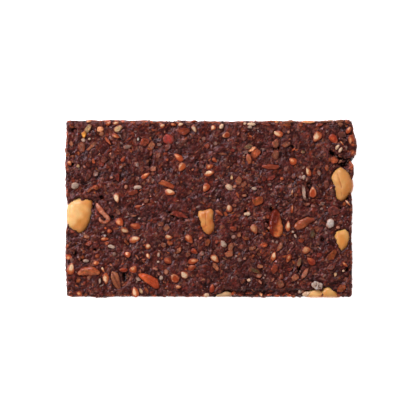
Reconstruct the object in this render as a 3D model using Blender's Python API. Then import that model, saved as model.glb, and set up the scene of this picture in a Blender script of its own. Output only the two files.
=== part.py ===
"""A pressed seed-and-nut bar that lies on its flat underside.

+X runs along the bar, +Y across it and +Z up. The origin is the middle of the underside.
The slab is one solid with its sesame seeds and nut chips fused on. Each whole nut or kernel
that shows is a solid of its own, in a well of the slab that is open where the nut shows.
"""

import math
import random
from collections import namedtuple

import bmesh
import bpy
from mathutils import Matrix, Vector, noise

MM = 0.001

# Driving sizes of the slab
LENGTH = 80 * MM
WIDTH = 49 * MM
THICKNESS = 10 * MM
EDGE_ROUND = 0.9 * MM
FOOT_ROUND = 0.5 * MM
CELL = 1.9 * MM
CORNER_CUT = 63.0 * MM

# Lumps of the pressed mass: a broad swell and a finer crumb
SWELL = 0.30 * MM
SWELL_SIZE = 4.2 * MM
CRUMB = 0.26 * MM
CRUMB_SIZE = 1.7 * MM

# The clearance of a nut in its well, and how far the well opens beyond it
NUT_GAP = 0.32 * MM
WELL_REACH = 4.0 * MM
NUT_SEGMENTS = 12
NUT_RINGS = 7

# How much narrower a nut gets towards its far end, and its groove, point or bend
PEANUT_TAPER = 0.13
SPLIT_TAPER = 0.16
SPLIT_GROOVE = 0.13
SPLIT_GROOVE_HALF = 0.16
ALMOND_TAPER = 0.22
ALMOND_POINT = 0.25
KERNEL_TAPER = 0.12
KERNEL_BEND = 0.16

# A sesame seed, as half sizes, and how deep it sits in the slab
SEED_HALF = (1.6 * MM, 0.98 * MM, 0.55 * MM)
SEED_TAPER = 0.3
SEED_SUNK = 0.16 * MM
SEED_LEAN = 0.2
SEED_RANDOM = 11

# A pale chip's width against its length, and its half thickness
CHIP_WIDTH = 0.75
CHIP_THICK = 0.6 * MM

# The seeds round the sides: how far apart they are, and their heights as shares of the thickness
SIDE_SEED_STEP = 9.0 * MM
SIDE_SEED_HEIGHTS = (0.22, 0.72)

# Nut: centre in mm, half sizes along, across and up in mm, turn about Z and pitch of its long
# axis in degrees, and the way in which its well is open
Nut = namedtuple("Nut", "name kind centre half turn pitch opens")
UP = (0, 0, 1)
UP_FRONT = (0, -0.8, 0.8)
NUTS = (
    Nut("peanut_left", "peanut", (-36.1, -1.4, 6.9), (5.5, 3.6, 3.4), 87, 0, (-0.7, 0, 0.7)),
    Nut("peanut_middle", "split", (-0.6, -3.4, 8.3), (4.2, 2.5, 2.1), 94, 2, UP),
    Nut("peanut_right", "split", (37.1, 6.8, 7.2), (5.4, 3.25, 3.0), 97, 0, (0.7, 0, 0.7)),
    Nut("peanut_low_right", "peanut", (36.7, -8.7, 7.3), (3.8, 2.75, 3.0), 76, 0, UP),
    Nut("peanut_front_corner", "peanut", (34.1, -22.7, 5.4), (3.9, 2.4, 2.1), 0, 84, UP_FRONT),
    Nut("peanut_front", "peanut", (29.3, -22.85, 5.0), (3.6, 2.1, 1.9), 0, -82, UP_FRONT),
    Nut("peanut_front_middle", "peanut", (3.6, -23.0, 7.0), (3.2, 1.75, 2.3), -4, 0, UP_FRONT),
    Nut("almond_sliver", "almond", (-17.0, -20.1, 9.0), (3.9, 1.5, 1.3), -35, 0, UP),
    Nut("almond_leaf", "almond", (-26.1, -20.0, 9.2), (3.0, 1.25, 1.0), -65, 0, UP),
    Nut("kernel_dark", "kernel", (18.8, -3.9, 9.1), (3.9, 1.85, 1.5), 100, 0, UP),
    Nut("kernel_covered", "kernel", (27.1, -4.1, 9.1), (3.6, 1.4, 1.1), 13, 0, UP),
    Nut("kernel_upper_left", "almond", (-11.7, 7.2, 9.2), (2.8, 1.3, 1.0), -15, 0, UP),
)

# Sesame seeds of the top that stand out: place in mm, and the way in which the tip points in
# degrees, anticlockwise from +X
TOP_SEEDS = (
    (30.2, 20.2, 237), (35.0, 19.5, 127), (38.6, 18.9, 278), (19.0, 21.1, 162), (4.8, 20.6, 205),
    (3.7, 22.3, 60), (-4.3, 22.3, 302), (-34.3, 21.7, 240), (12.5, 16.5, 215), (11.4, 13.7, 100),
    (-8.6, 14.9, 150), (-7.6, 11.4, 243), (0.2, 12.2, 205), (0.1, 9.6, 190), (23.5, 13.4, 145),
    (27.9, 10.5, 110), (-18.0, 9.4, 35), (-10.9, 4.3, 340), (-1.0, 5.9, 235), (29.1, 4.8, 88),
    (5.7, 0.3, 100), (-25.2, -3.2, 315), (-23.3, -6.3, 155), (-20.2, -4.4, 350), (-20.7, -8.8, 15),
    (-5.5, -9.4, 315), (-11.3, -8.5, 200), (22.8, -4.9, 88), (12.6, -5.5, 300), (-12.1, -5.0, 45),
    (-4.6, -12.2, 320), (-17.0, -10.7, 90), (-22.8, -12.6, 250), (1.7, -13.8, 325), (18.0, -13.1, 75),
    (22.3, -13.6, 250), (-4.4, -14.8, 185), (-11.3, -14.5, 135), (-31.4, -15.1, 170), (-23.9, -16.7, 180),
    (-28.9, -16.0, 272), (-38.3, -16.6, 255), (-7.1, -18.3, 135), (-9.7, -20.6, 140), (-21.3, -22.6, 110),
    (28.3, -14.4, 140), (13.6, 2.2, 0), (34.4, -13.3, 40), (26.9, -10.9, 340), (-31.0, 22.1, 90),
)

# Pale nut chips of the top: place in mm, half length in mm and turn in degrees
TOP_CHIPS = (
    (33.9, -4.0, 1.3, 20), (-37.3, 6.9, 1.1, 70), (5.8, 6.1, 1.1, 10), (-26.0, 3.2, 1.3, 60),
    (4.0, -9.6, 1.1, 40), (-27.5, -10.3, 1.0, 20), (-25.5, 22.0, 1.3, 20), (36.0, 16.0, 1.0, 60),
    (30.3, -19.1, 1.6, 150), (10.4, -1.5, 1.0, 30), (-20.1, 6.4, 1.0, 30), (15.5, -9.9, 1.2, 0),
    (8.4, 10.0, 1.3, 70), (19.2, 16.6, 1.3, 80), (-30.5, -9.0, 1.0, 30), (24.0, 21.2, 1.0, 10),
)

# Outline of the slab: a bump or a dent on one side, at a place along it, with its reach and push
Bump = namedtuple("Bump", "side along reach push")
BUMPS = (
    Bump("right", 16.8, 3.6, 1.25),
    Bump("right", 13.0, 0.7, -0.9),
    Bump("right", 0.4, 1.6, 0.45),
    Bump("right", -15.4, 2.4, 0.45),
    Bump("back", 35.5, 3.5, 0.5),
    Bump("back", -7.3, 1.4, 0.35),
    Bump("front", -30.2, 2.2, 0.35),
    Bump("left", 8.0, 5.0, 0.25),
    Bump("left", -13.0, 3.5, 0.25),
)

# The crack that runs in from the right side and the pit that it ends in, in mm
CRACK = ((41.5, 13.7), (39.4, 13.4), (38.0, 13.9), (36.9, 15.2), (35.3, 16.4))
CRACK_HALF = 0.55 * MM
CRACK_DEPTH = 2.4 * MM
PIT = (36.9, 12.5)
PIT_HALF = 1.0 * MM

# The front edge is broken away to a ledge between these places along X. Its back line wanders
LEDGE_FROM = 4.5 * MM
LEDGE_TO = 28.5 * MM
LEDGE_BACK = -22.7 * MM
LEDGE_DROP = 1.5 * MM
LEDGE_SLOPE = 0.8 * MM
LEDGE_WANDER = 0.4 * MM
LEDGE_WANDER_SIZE = 5 * MM

# The outline's bumps fade out this far in from a side, and the top's drops this far down it
BUMP_DEPTH = 5 * MM
DROP_FROM = 0.45 * THICKNESS
DROP_TO = 0.95 * THICKNESS

PASTE_COLOUR = (0.085, 0.030, 0.022)
NUT_COLOURS = {
    "peanut": (0.72, 0.42, 0.16),
    "split": (0.66, 0.34, 0.13),
    "almond": (0.30, 0.10, 0.04),
    "kernel": (0.20, 0.07, 0.03),
}


def smooth(value, start, end):
    """0 at start and 1 at end, with an even slope between."""
    t = min(max((value - start) / (end - start), 0), 1)
    return t * t * (3 - 2 * t)


def clear_scene():
    for obj in list(bpy.data.objects):
        bpy.data.objects.remove(obj)


def make_collection(name):
    made = bpy.data.collections.new(name)
    bpy.context.scene.collection.children.link(made)
    return made


def make_material(name, colour, roughness):
    made = bpy.data.materials.new(name)
    made.use_nodes = True
    shader = made.node_tree.nodes["Principled BSDF"]
    shader.inputs["Base Color"].default_value = (*colour, 1)
    shader.inputs["Roughness"].default_value = roughness
    shader.inputs["Metallic"].default_value = 0
    return made


def make_object(name, mesh_data, collection):
    """A bmesh made into an object of the collection."""
    bmesh.ops.recalc_face_normals(mesh_data, faces=mesh_data.faces)
    mesh = bpy.data.meshes.new(name)
    mesh_data.to_mesh(mesh)
    mesh_data.free()
    obj = bpy.data.objects.new(name, mesh)
    collection.objects.link(obj)
    return obj


def apply_boolean(obj, collection, operation):
    """Joins or cuts the object with a whole collection, which is then removed."""
    modifier = obj.modifiers.new(collection.name, "BOOLEAN")
    modifier.operand_type = "COLLECTION"
    modifier.collection = collection
    modifier.operation = operation
    modifier.solver = "EXACT"
    graph = bpy.context.evaluated_depsgraph_get()
    made = bpy.data.meshes.new_from_object(obj.evaluated_get(graph))
    obj.modifiers.remove(modifier)
    obj.data = made
    for helper in list(collection.objects):
        bpy.data.objects.remove(helper)
    bpy.data.collections.remove(collection)


def cut_places(half, step):
    """Where to cut a side of the slab: even cells, with closer cuts along its rounded edges."""
    inner = half - EDGE_ROUND
    count = max(1, round(2 * inner / step))
    even = [-inner + 2 * inner * i / count for i in range(count + 1)]
    return [-half + 0.4 * EDGE_ROUND, *even, half - 0.4 * EDGE_ROUND]


def make_block():
    """The square slab, cut into cells all over."""
    block = bmesh.new()
    bmesh.ops.create_cube(block, size=1)
    bmesh.ops.scale(block, vec=(LENGTH, WIDTH, THICKNESS), verts=block.verts)
    bmesh.ops.translate(block, vec=(0, 0, THICKNESS / 2), verts=block.verts)
    heights = [THICKNESS / 2 + z for z in cut_places(THICKNESS / 2, CELL * 1.35)]
    for axis, places in ((0, cut_places(LENGTH / 2, CELL)), (1, cut_places(WIDTH / 2, CELL)), (2, heights)):
        normal = Vector([float(i == axis) for i in range(3)])
        for place in places:
            parts = block.verts[:] + block.edges[:] + block.faces[:]
            bmesh.ops.bisect_plane(block, geom=parts, plane_co=normal * place, plane_no=normal)
    return block


def rounded(point):
    """The point of the square slab moved onto the rounded one, and the way out of the surface there."""
    foot = FOOT_ROUND * (1 - smooth(point.z, 0, 2 * FOOT_ROUND))
    inner = Vector(
        (
            min(max(point.x, EDGE_ROUND - LENGTH / 2), LENGTH / 2 - EDGE_ROUND),
            min(max(point.y, EDGE_ROUND - WIDTH / 2), WIDTH / 2 - EDGE_ROUND),
            min(point.z, THICKNESS - EDGE_ROUND),
        )
    )
    out = point - inner
    if out.length < 1e-9:
        return point.copy(), Vector((0, 0, 0))
    way = out.normalized()
    return inner + way * (EDGE_ROUND - foot * math.hypot(way.x, way.y)), way


def outline_push(point):
    """How far the bumps and dents of the outline move a point of a side."""
    sides = {
        "right": (Vector((1, 0, 0)), point.y, point.x - LENGTH / 2),
        "left": (Vector((-1, 0, 0)), point.y, -point.x - LENGTH / 2),
        "back": (Vector((0, 1, 0)), point.x, point.y - WIDTH / 2),
        "front": (Vector((0, -1, 0)), point.x, -point.y - WIDTH / 2),
    }
    moved = Vector((0, 0, 0))
    for bump in BUMPS:
        way, along, inside = sides[bump.side]
        share = math.exp(-(((along / MM - bump.along) / bump.reach) ** 2))
        moved += way * bump.push * MM * share * smooth(inside, -BUMP_DEPTH, -EDGE_ROUND)
    return moved


def to_polyline(x, y, points):
    """The distance from a place to a line through points in mm."""
    place = Vector((x, y))
    nearest = math.inf
    for start, end in zip(points, points[1:]):
        a = Vector(start) * MM
        b = Vector(end) * MM
        along = (place - a).dot(b - a) / (b - a).length_squared
        nearest = min(nearest, (place - a - (b - a) * min(max(along, 0), 1)).length)
    return nearest


def top_drop(x, y):
    """How far the crack, its pit and the broken front edge lower the top."""
    crack = CRACK_DEPTH * math.exp(-((to_polyline(x, y, CRACK) / CRACK_HALF) ** 2))
    from_pit = math.hypot(x - PIT[0] * MM, y - PIT[1] * MM)
    pit = CRACK_DEPTH * math.exp(-((from_pit / PIT_HALF) ** 2))
    wander = LEDGE_WANDER * noise.noise(Vector((x / LEDGE_WANDER_SIZE, 0.5, 0)))
    across = smooth(LEDGE_BACK + wander - y, -LEDGE_SLOPE / 2, LEDGE_SLOPE / 2)
    starts = smooth(x - LEDGE_FROM, -LEDGE_SLOPE, LEDGE_SLOPE)
    ends = smooth(LEDGE_TO - x, -LEDGE_SLOPE, LEDGE_SLOPE)
    return max(crack, pit, LEDGE_DROP * across * starts * ends)


def relief(point):
    """Height of the lumps at a point."""
    swell = SWELL * noise.noise(point / SWELL_SIZE)
    crumb = CRUMB * noise.noise(point / CRUMB_SIZE + Vector((31, 17, 5)))
    return swell + crumb


def shape_slab(block):
    """Rounds the block and gives it its relief. The underside stays flat."""
    for vertex in block.verts:
        flat = vertex.co.copy()
        on_foot = flat.z < 1e-6
        place, way = rounded(flat)
        if on_foot and abs(flat.x) < LENGTH / 2 - 1e-6 and abs(flat.y) < WIDTH / 2 - 1e-6:
            continue
        moved = place + outline_push(flat) + way * relief(flat)
        upper = smooth(flat.z, DROP_FROM, DROP_TO)
        moved.z -= upper * top_drop(moved.x, moved.y)
        beyond = moved.x + moved.y - CORNER_CUT
        if beyond > 0:
            moved -= Vector((beyond / 2, beyond / 2, 0))
        moved.z = 0 if on_foot else max(moved.z, 0.3 * MM)
        vertex.co = moved


def join_foot(block):
    """Makes the flat underside one face."""
    foot = [f for f in block.faces if all(v.co.z < 1e-6 for v in f.verts)]
    bmesh.ops.dissolve_faces(block, faces=foot, use_verts=True)


def make_slab(collection):
    block = make_block()
    shape_slab(block)
    join_foot(block)
    bmesh.ops.triangulate(block, faces=block.faces)
    return make_object("bar", block, collection)


def nut_mesh(nut, grow):
    """A nut's mesh in place, grown all round by grow."""
    body = bmesh.new()
    bmesh.ops.create_uvsphere(body, u_segments=NUT_SEGMENTS, v_segments=NUT_RINGS, radius=1)
    bmesh.ops.rotate(body, verts=body.verts, matrix=Matrix.Rotation(math.pi / 2, 3, "Y"))
    half = Vector(nut.half) * MM + Vector((grow, grow, grow))
    for vertex in body.verts:
        x, y, z = vertex.co
        if nut.kind == "peanut":
            y *= 1 - PEANUT_TAPER * x
            z *= 1 - PEANUT_TAPER * x
        elif nut.kind == "split":
            y *= 1 - SPLIT_TAPER * x
            z -= SPLIT_GROOVE * math.exp(-((y / SPLIT_GROOVE_HALF) ** 2)) * max(z, 0)
        elif nut.kind == "almond":
            y *= (1 - ALMOND_TAPER * x) * (1 - ALMOND_POINT * x * x)
        else:
            y += KERNEL_BEND * (0.5 - x * x)
            y *= 1 - KERNEL_TAPER * x
        vertex.co = Vector((x * half.x, y * half.y, z * half.z))
    turn = Matrix.Rotation(math.radians(nut.turn), 3, "Z")
    pitch = Matrix.Rotation(math.radians(-nut.pitch), 3, "Y")
    bmesh.ops.rotate(body, verts=body.verts, matrix=turn @ pitch)
    bmesh.ops.translate(body, vec=Vector(nut.centre) * MM, verts=body.verts)
    return body


def well_mesh(nut):
    """The well of a nut: the hull of the grown nut and of itself drawn out towards its opening."""
    nut_body = nut_mesh(nut, NUT_GAP)
    drawn_out = Vector(nut.opens).normalized() * WELL_REACH
    well = bmesh.new()
    for vertex in nut_body.verts:
        well.verts.new(vertex.co)
        well.verts.new(vertex.co + drawn_out)
    nut_body.free()
    bmesh.ops.convex_hull(well, input=well.verts)
    inside = [v for v in well.verts if not v.link_faces]
    bmesh.ops.delete(well, geom=inside, context="VERTS")
    return well


def make_nuts(collection):
    for nut in NUTS:
        obj = make_object(nut.name, nut_mesh(nut, 0), collection)
        obj.data.materials.append(make_material(nut.name, NUT_COLOURS[nut.kind], 0.4))
        obj.data.shade_smooth()


def clear_of_nuts(place, margin):
    """Whether a place is outside every nut by the margin, counted along the nut's own half sizes."""
    for nut in NUTS:
        turn = Matrix.Rotation(math.radians(nut.turn), 3, "Z")
        pitch = Matrix.Rotation(math.radians(-nut.pitch), 3, "Y")
        local = (turn @ pitch).transposed() @ (place - Vector(nut.centre) * MM)
        half = Vector(nut.half) * MM + Vector((margin, margin, margin))
        if Vector((local.x / half.x, local.y / half.y, local.z / half.z)).length < 1:
            return False
    return True


def add_seed(name, place, out, turn, half, collection):
    """A drop-shaped seed that lies on the surface with the normal out, its tip turned by turn."""
    body = bmesh.new()
    bmesh.ops.create_uvsphere(body, u_segments=6, v_segments=3, radius=1)
    bmesh.ops.rotate(body, verts=body.verts, matrix=Matrix.Rotation(math.pi / 2, 3, "Y"))
    for vertex in body.verts:
        x, y, z = vertex.co
        vertex.co = Vector((x * half[0], y * half[1] * (1 - SEED_TAPER * x), z * half[2]))
    frame = Vector((0, 0, 1)).rotation_difference(out).to_matrix()
    bmesh.ops.rotate(body, verts=body.verts, matrix=frame @ Matrix.Rotation(turn, 3, "Z"))
    bmesh.ops.translate(body, vec=place, verts=body.verts)
    return make_object(name, body, collection)


def surface_at(slab, start, way):
    """Where a line from start meets the slab."""
    hit, place, normal, _ = slab.ray_cast(start, way)
    return (place, normal) if hit else (None, None)


def scatter_seeds(slab, collection):
    """The seeds and chips of the top at their places, and seeds spread evenly round the sides."""
    draw = random.Random(SEED_RANDOM)
    down = Vector((0, 0, -1))
    spots = [(x, y, SEED_HALF, tip) for x, y, tip in TOP_SEEDS]
    for x, y, long, turn in TOP_CHIPS:
        spots.append((x, y, (long * MM, CHIP_WIDTH * long * MM, CHIP_THICK), turn))
    for number, (x, y, half, turn) in enumerate(spots):
        place, _ = surface_at(slab, Vector((x * MM, y * MM, 2 * THICKNESS)), down)
        lean_x = draw.uniform(-SEED_LEAN, SEED_LEAN)
        lean_y = draw.uniform(-SEED_LEAN, SEED_LEAN)
        lean = Vector((lean_x, lean_y, 1)).normalized()
        if clear_of_nuts(place, half[0]):
            name = f"seed_{number}"
            add_seed(name, place - lean * SEED_SUNK, lean, math.radians(turn), half, collection)
    for way, run in (((1, 0), WIDTH), ((-1, 0), WIDTH), ((0, 1), LENGTH), ((0, -1), LENGTH)):
        out = Vector((*way, 0))
        along = Vector((-out.y, out.x, 0))
        count = round(run / SIDE_SEED_STEP)
        for i in range(count):
            offset = (i + 0.5 + draw.uniform(-0.2, 0.2)) * run / count - run / 2
            height = draw.uniform(*SIDE_SEED_HEIGHTS) * THICKNESS
            start = along * offset + out * LENGTH + Vector((0, 0, height))
            place, _ = surface_at(slab, start, -out)
            turn = draw.uniform(0, math.tau)
            if clear_of_nuts(place, SEED_HALF[0]):
                name = f"side_{way[0]}_{way[1]}_{i}"
                add_seed(name, place - out * SEED_SUNK, out, turn, SEED_HALF, collection)


def main():
    clear_scene()
    parts = make_collection("seed_bar")
    slab = make_slab(parts)
    wells = make_collection("wells")
    for nut in NUTS:
        make_object("well_" + nut.name, well_mesh(nut), wells)
    seeds = make_collection("seeds")
    bpy.context.view_layer.update()
    scatter_seeds(slab, seeds)
    apply_boolean(slab, seeds, "UNION")
    apply_boolean(slab, wells, "DIFFERENCE")
    slab.data.materials.clear()
    slab.data.materials.append(make_material("pressed_seeds", PASTE_COLOUR, 0.35))
    make_nuts(parts)


main()
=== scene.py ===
"""The looks of a bar of pressed seeds and nuts, photographed from straight above.

The slab is replaced by its dark sticky paste, full of seed chips, crumbs, pale grains and sesame
seeds, each kind one mesh. The whole nuts and kernels keep their places and get their own forms.
"""

import math
import random
from collections import namedtuple

import bpy
import numpy as np
from mathutils import Matrix, Vector, noise
from mathutils.bvhtree import BVHTree


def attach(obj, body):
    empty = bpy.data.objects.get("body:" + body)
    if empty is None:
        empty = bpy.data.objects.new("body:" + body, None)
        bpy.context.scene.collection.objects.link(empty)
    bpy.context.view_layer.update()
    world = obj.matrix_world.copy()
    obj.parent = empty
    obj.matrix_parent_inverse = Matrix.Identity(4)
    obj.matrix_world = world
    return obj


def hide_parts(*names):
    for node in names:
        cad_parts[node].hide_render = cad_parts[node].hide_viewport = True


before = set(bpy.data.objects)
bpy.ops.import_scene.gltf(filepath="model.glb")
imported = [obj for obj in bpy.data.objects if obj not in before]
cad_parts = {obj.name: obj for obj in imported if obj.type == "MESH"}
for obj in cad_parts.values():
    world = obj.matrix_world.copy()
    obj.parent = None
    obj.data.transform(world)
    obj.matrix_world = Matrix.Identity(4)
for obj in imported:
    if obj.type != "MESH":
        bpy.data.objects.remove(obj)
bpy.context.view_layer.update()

MM = 0.001
UP = (0, 0, 1)
SIDES = (UP, (0, 0, -1), (1, 0, 0), (-1, 0, 0), (0, 1, 0), (0, -1, 0))

Trees = namedtuple("Trees", "paste nuts")
Spot = namedtuple("Spot", "place out way")
Piece = namedtuple("Piece", "x y long wide turn tone")


def pieces(*rows):
    """The rows of a table as pieces."""
    return [Piece(*row) for row in rows]


# The slab, as in the solids
LENGTH = 80 * MM
WIDTH = 49 * MM
THICKNESS = 10 * MM
EDGE_ROUND = 0.9 * MM
FOOT_ROUND = 0.6 * MM
CORNER_CUT = 64.3 * MM
CELL = 0.36 * MM
FLOOR_GAP = 0.02 * MM

# Bumps and dents of the outline: side, place along it, reach and push in mm. They end in the band,
# which lies this far inside the sides.
SIDE_PUSH = 0.12 * MM
SIDE_BAND = (-5 * MM, -1 * MM)
OUTLINE_SLACK = 0.10 * MM
Bump = namedtuple("Bump", "side along reach push")
BUMPS = (
    Bump("right", 17.5, 3.8, 1.35),
    Bump("right", 13.3, 0.7, -0.55),
    Bump("right", 10.5, 2.2, 0.45),
    Bump("right", 0.4, 1.6, 0.15),
    Bump("right", -14.4, 2.4, 0.15),
    Bump("back", 38.2, 3.8, 0.55),
    Bump("back", 17.5, 2.5, 0.2),
    Bump("back", -7.3, 1.4, 0.35),
    Bump("back", -18.0, 2.0, 0.25),
    Bump("back", -26.0, 6.0, 0.38),
    Bump("back", -38.0, 2.0, 0.2),
    Bump("back", -33.2, 1.6, 0.35),
    Bump("left", -0.6, 3.2, -0.55),
    Bump("left", 21.5, 2.5, -0.22),
    Bump("left", -21.8, 3.0, -0.22),
    Bump("front", -30.2, 2.2, 0.35),
    Bump("front", 12.0, 9.0, 0.15),
    Bump("left", 13.0, 6.0, 0.1),
    Bump("left", -13.0, 3.5, 0.2),
)

# The crack at the back right, the pit in it, and the hollows between the pieces, all darkened with painted
# shade. Places and the hollows' radii are in mm, and a hollow falls off over its radius times the spread.
CRACK = ((41.5, 13.8), (40.0, 13.9), (38.3, 13.8), (36.9, 14.1), (35.2, 15.0), (33.9, 16.1))
CRACK_HALF = 0.38 * MM
CRACK_DEPTH = 2.0 * MM
PITS = ((36.8, 12.5), (38.0, 12.2), (38.6, 13.0))
PIT_HALF = 0.65 * MM
HOLLOW_DEPTH = 1.5 * MM
HOLLOW_SPREAD = 1.25
HOLLOWS = (
    (-37.9, 22.2, 0.6), (-16.6, 13.8, 0.35), (-16.5, 12.9, 0.35), (-16.6, 12.1, 0.3), (-38.3, 12.4, 0.35),
    (11.3, 15.9, 0.3), (23.5, 17.5, 0.4), (18, 16.7, 0.25), (18.7, 16.8, 0.25), (19.5, 17, 0.25),
    (-30, 3.2, 0.5), (-32.4, 2, 0.3), (-32.3, 0.6, 0.3), (-26.9, -2.4, 0.5), (-11, -1, 0.35),
    (-10, -2.1, 0.25), (-8.6, -2.7, 0.25), (-7.2, -3.3, 0.25), (10.3, -0.5, 0.35), (28.1, 6.6, 0.7),
    (28.4, 5.6, 0.4), (17.6, 0, 0.5), (36.9, 0.1, 0.3), (38.6, 2.6, 0.5), (31.9, -8.6, 0.5),
    (-37.3, -12.5, 0.4), (-35.6, -14.5, 0.5), (-32, -11.4, 0.35), (-23.6, -18.4, 0.6), (-23.4, -19.6, 0.6),
    (25.2, -15.8, 0.3), (25.3, -16.7, 0.35), (25.1, -17.6, 0.3), (38.6, -17, 0.4), (16.6, -3.9, 0.3),
    (16.7, -6, 0.35),
)
# The low step at the front, where the edge is broken
LEDGE_FROM = 4.5 * MM
LEDGE_TO = 28.5 * MM
LEDGE_BACK = -22.7 * MM
LEDGE_DROP = 1.1 * MM

# Layers of noise: strength, size in mm and seed
LAYERS = {
    "swell": (0.26 * MM, 6, 0),
    "warp": (0.45 * MM, 1.6, 1),
    "fine_warp": (0.18 * MM, 0.7, 4),
    "fold": (1, 1.3, 6),
    "small_fold": (1, 0.7, 7),
    "lump": (0.22 * MM, 2.2, 9),
    "grit": (0.07 * MM, 0.5, 8),
    "gap": (1, 3.5, 14),
    "small_gap": (1, 2.0, 15),
    "ledge_line": (0.35 * MM, 2.5, 3),
    "ledge_foot": (0.6, 1.3, 78),
    "hollow_edge": (0.35, 0.8, 77),
    "nut_lap": (1, 0.9, 12),
    "lap_edge": (0.3, 0.9, 13),
    "piece_edge": (0.30, 0.7, 24),
    "red": (1, 1.9, 20),
    "fine_red": (0.7, 0.7, 21),
    "grey": (1, 2.6, 25),
    "fine_grey": (0.6, 0.9, 26),
    "shade": (0.16, 0.6, 27),
    "edge_width": (0.6 * MM, 1.6, 22),
    "edge_band": (1, 1.3, 23),
    "chip_stain": (1, 0.9, 75),
    "chip_mottle": (0.28, 0.8, 76),
    "grain_form": (0.22, 0.6, 43),
    "husk_width": (0.3, 1.1, 70),
    "husk_form": (0.10 * MM, 0.6, 71),
    "husk_mottle": (0.26, 0.7, 74),
    "husk_stain": (1, 1.0, 79),
    "kernel_form": (0.22, 0.8, 41),
    "kernel_mottle": (0.26, 0.8, 40),
    "kernel_grey": (1, 0.7, 42),
    "seed_form": (0.09, 0.9, 44),
    "nut_form": (0.02, 1.8, 0),
    "nut_wrinkle": (0.10 * MM, 0.7, 50),
    "nut_patch": (1, 2.2, 30),
    "nut_edge": (0.06, 0.9, 30),
}
# The paste's lumps: sizes of its chunks, heights of their folds and facets, depths of the gaps
CHUNK = 2.4 * MM
SMALL_CHUNK = 1.1 * MM
FOLD_HEIGHT = 0.16 * MM
SMALL_FOLD_HEIGHT = 0.11 * MM
FACET_HEIGHT = 0.22 * MM
SMALL_FACET_HEIGHT = 0.12 * MM
GAP_DEPTH = 0.36 * MM
SMALL_GAP_DEPTH = 0.16 * MM
# Ways and a scale that turn a chunk's centre into numbers that look like chance
CHANCE_SCALE = 9871.7
CHANCE_WAYS = np.array((
    (12.9, 78.2, 37.7), (39.3, 11.1, 83.2), (73.2, 52.2, 9.2), (26.7, 31.4, 64.5), (57.9, 91.3, 17.1),
))

# Whole nuts and kernels, as in the solids: centre in mm, half sizes along, across and up in mm
Nut = namedtuple("Nut", "name slot centre half")
NUTS = (
    Nut("peanut_left", "peanut", (-36.0, -1.3, 7.1), (5.5, 3.5, 3.4)),
    Nut("peanut_middle", "peanut", (-0.7, -3.4, 8.3), (4.0, 2.4, 2.2)),
    Nut("peanut_right", "peanut", (37.6, 6.9, 7.4), (5.2, 3.2, 3.0)),
    Nut("peanut_low_right", "peanut", (37.3, -8.7, 7.4), (3.4, 2.4, 3.0)),
    Nut("peanut_front_corner", "peanut", (34.1, -23.4, 6.0), (4.0, 2.5, 3.6)),
    Nut("peanut_front", "peanut", (29.8, -23.7, 5.7), (3.9, 2.2, 3.6)),
    Nut("peanut_front_middle", "peanut", (4.0, -23.9, 7.2), (3.3, 1.8, 2.5)),
    Nut("almond_sliver", "almond", (-16.6, -20.3, 9.0), (3.5, 1.6, 1.4)),
    Nut("almond_leaf", "almond", (-26.0, -19.9, 9.2), (2.8, 1.4, 1.0)),
    Nut("kernel_dark", "kernel", (18.7, -3.9, 9.1), (3.8, 1.9, 1.6)),
    Nut("kernel_covered", "kernel", (27.0, -3.9, 9.1), (3.8, 1.4, 1.2)),
    Nut("kernel_upper_left", "almond", (-11.6, 7.0, 9.3), (2.8, 1.2, 1.0)),
)
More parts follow.
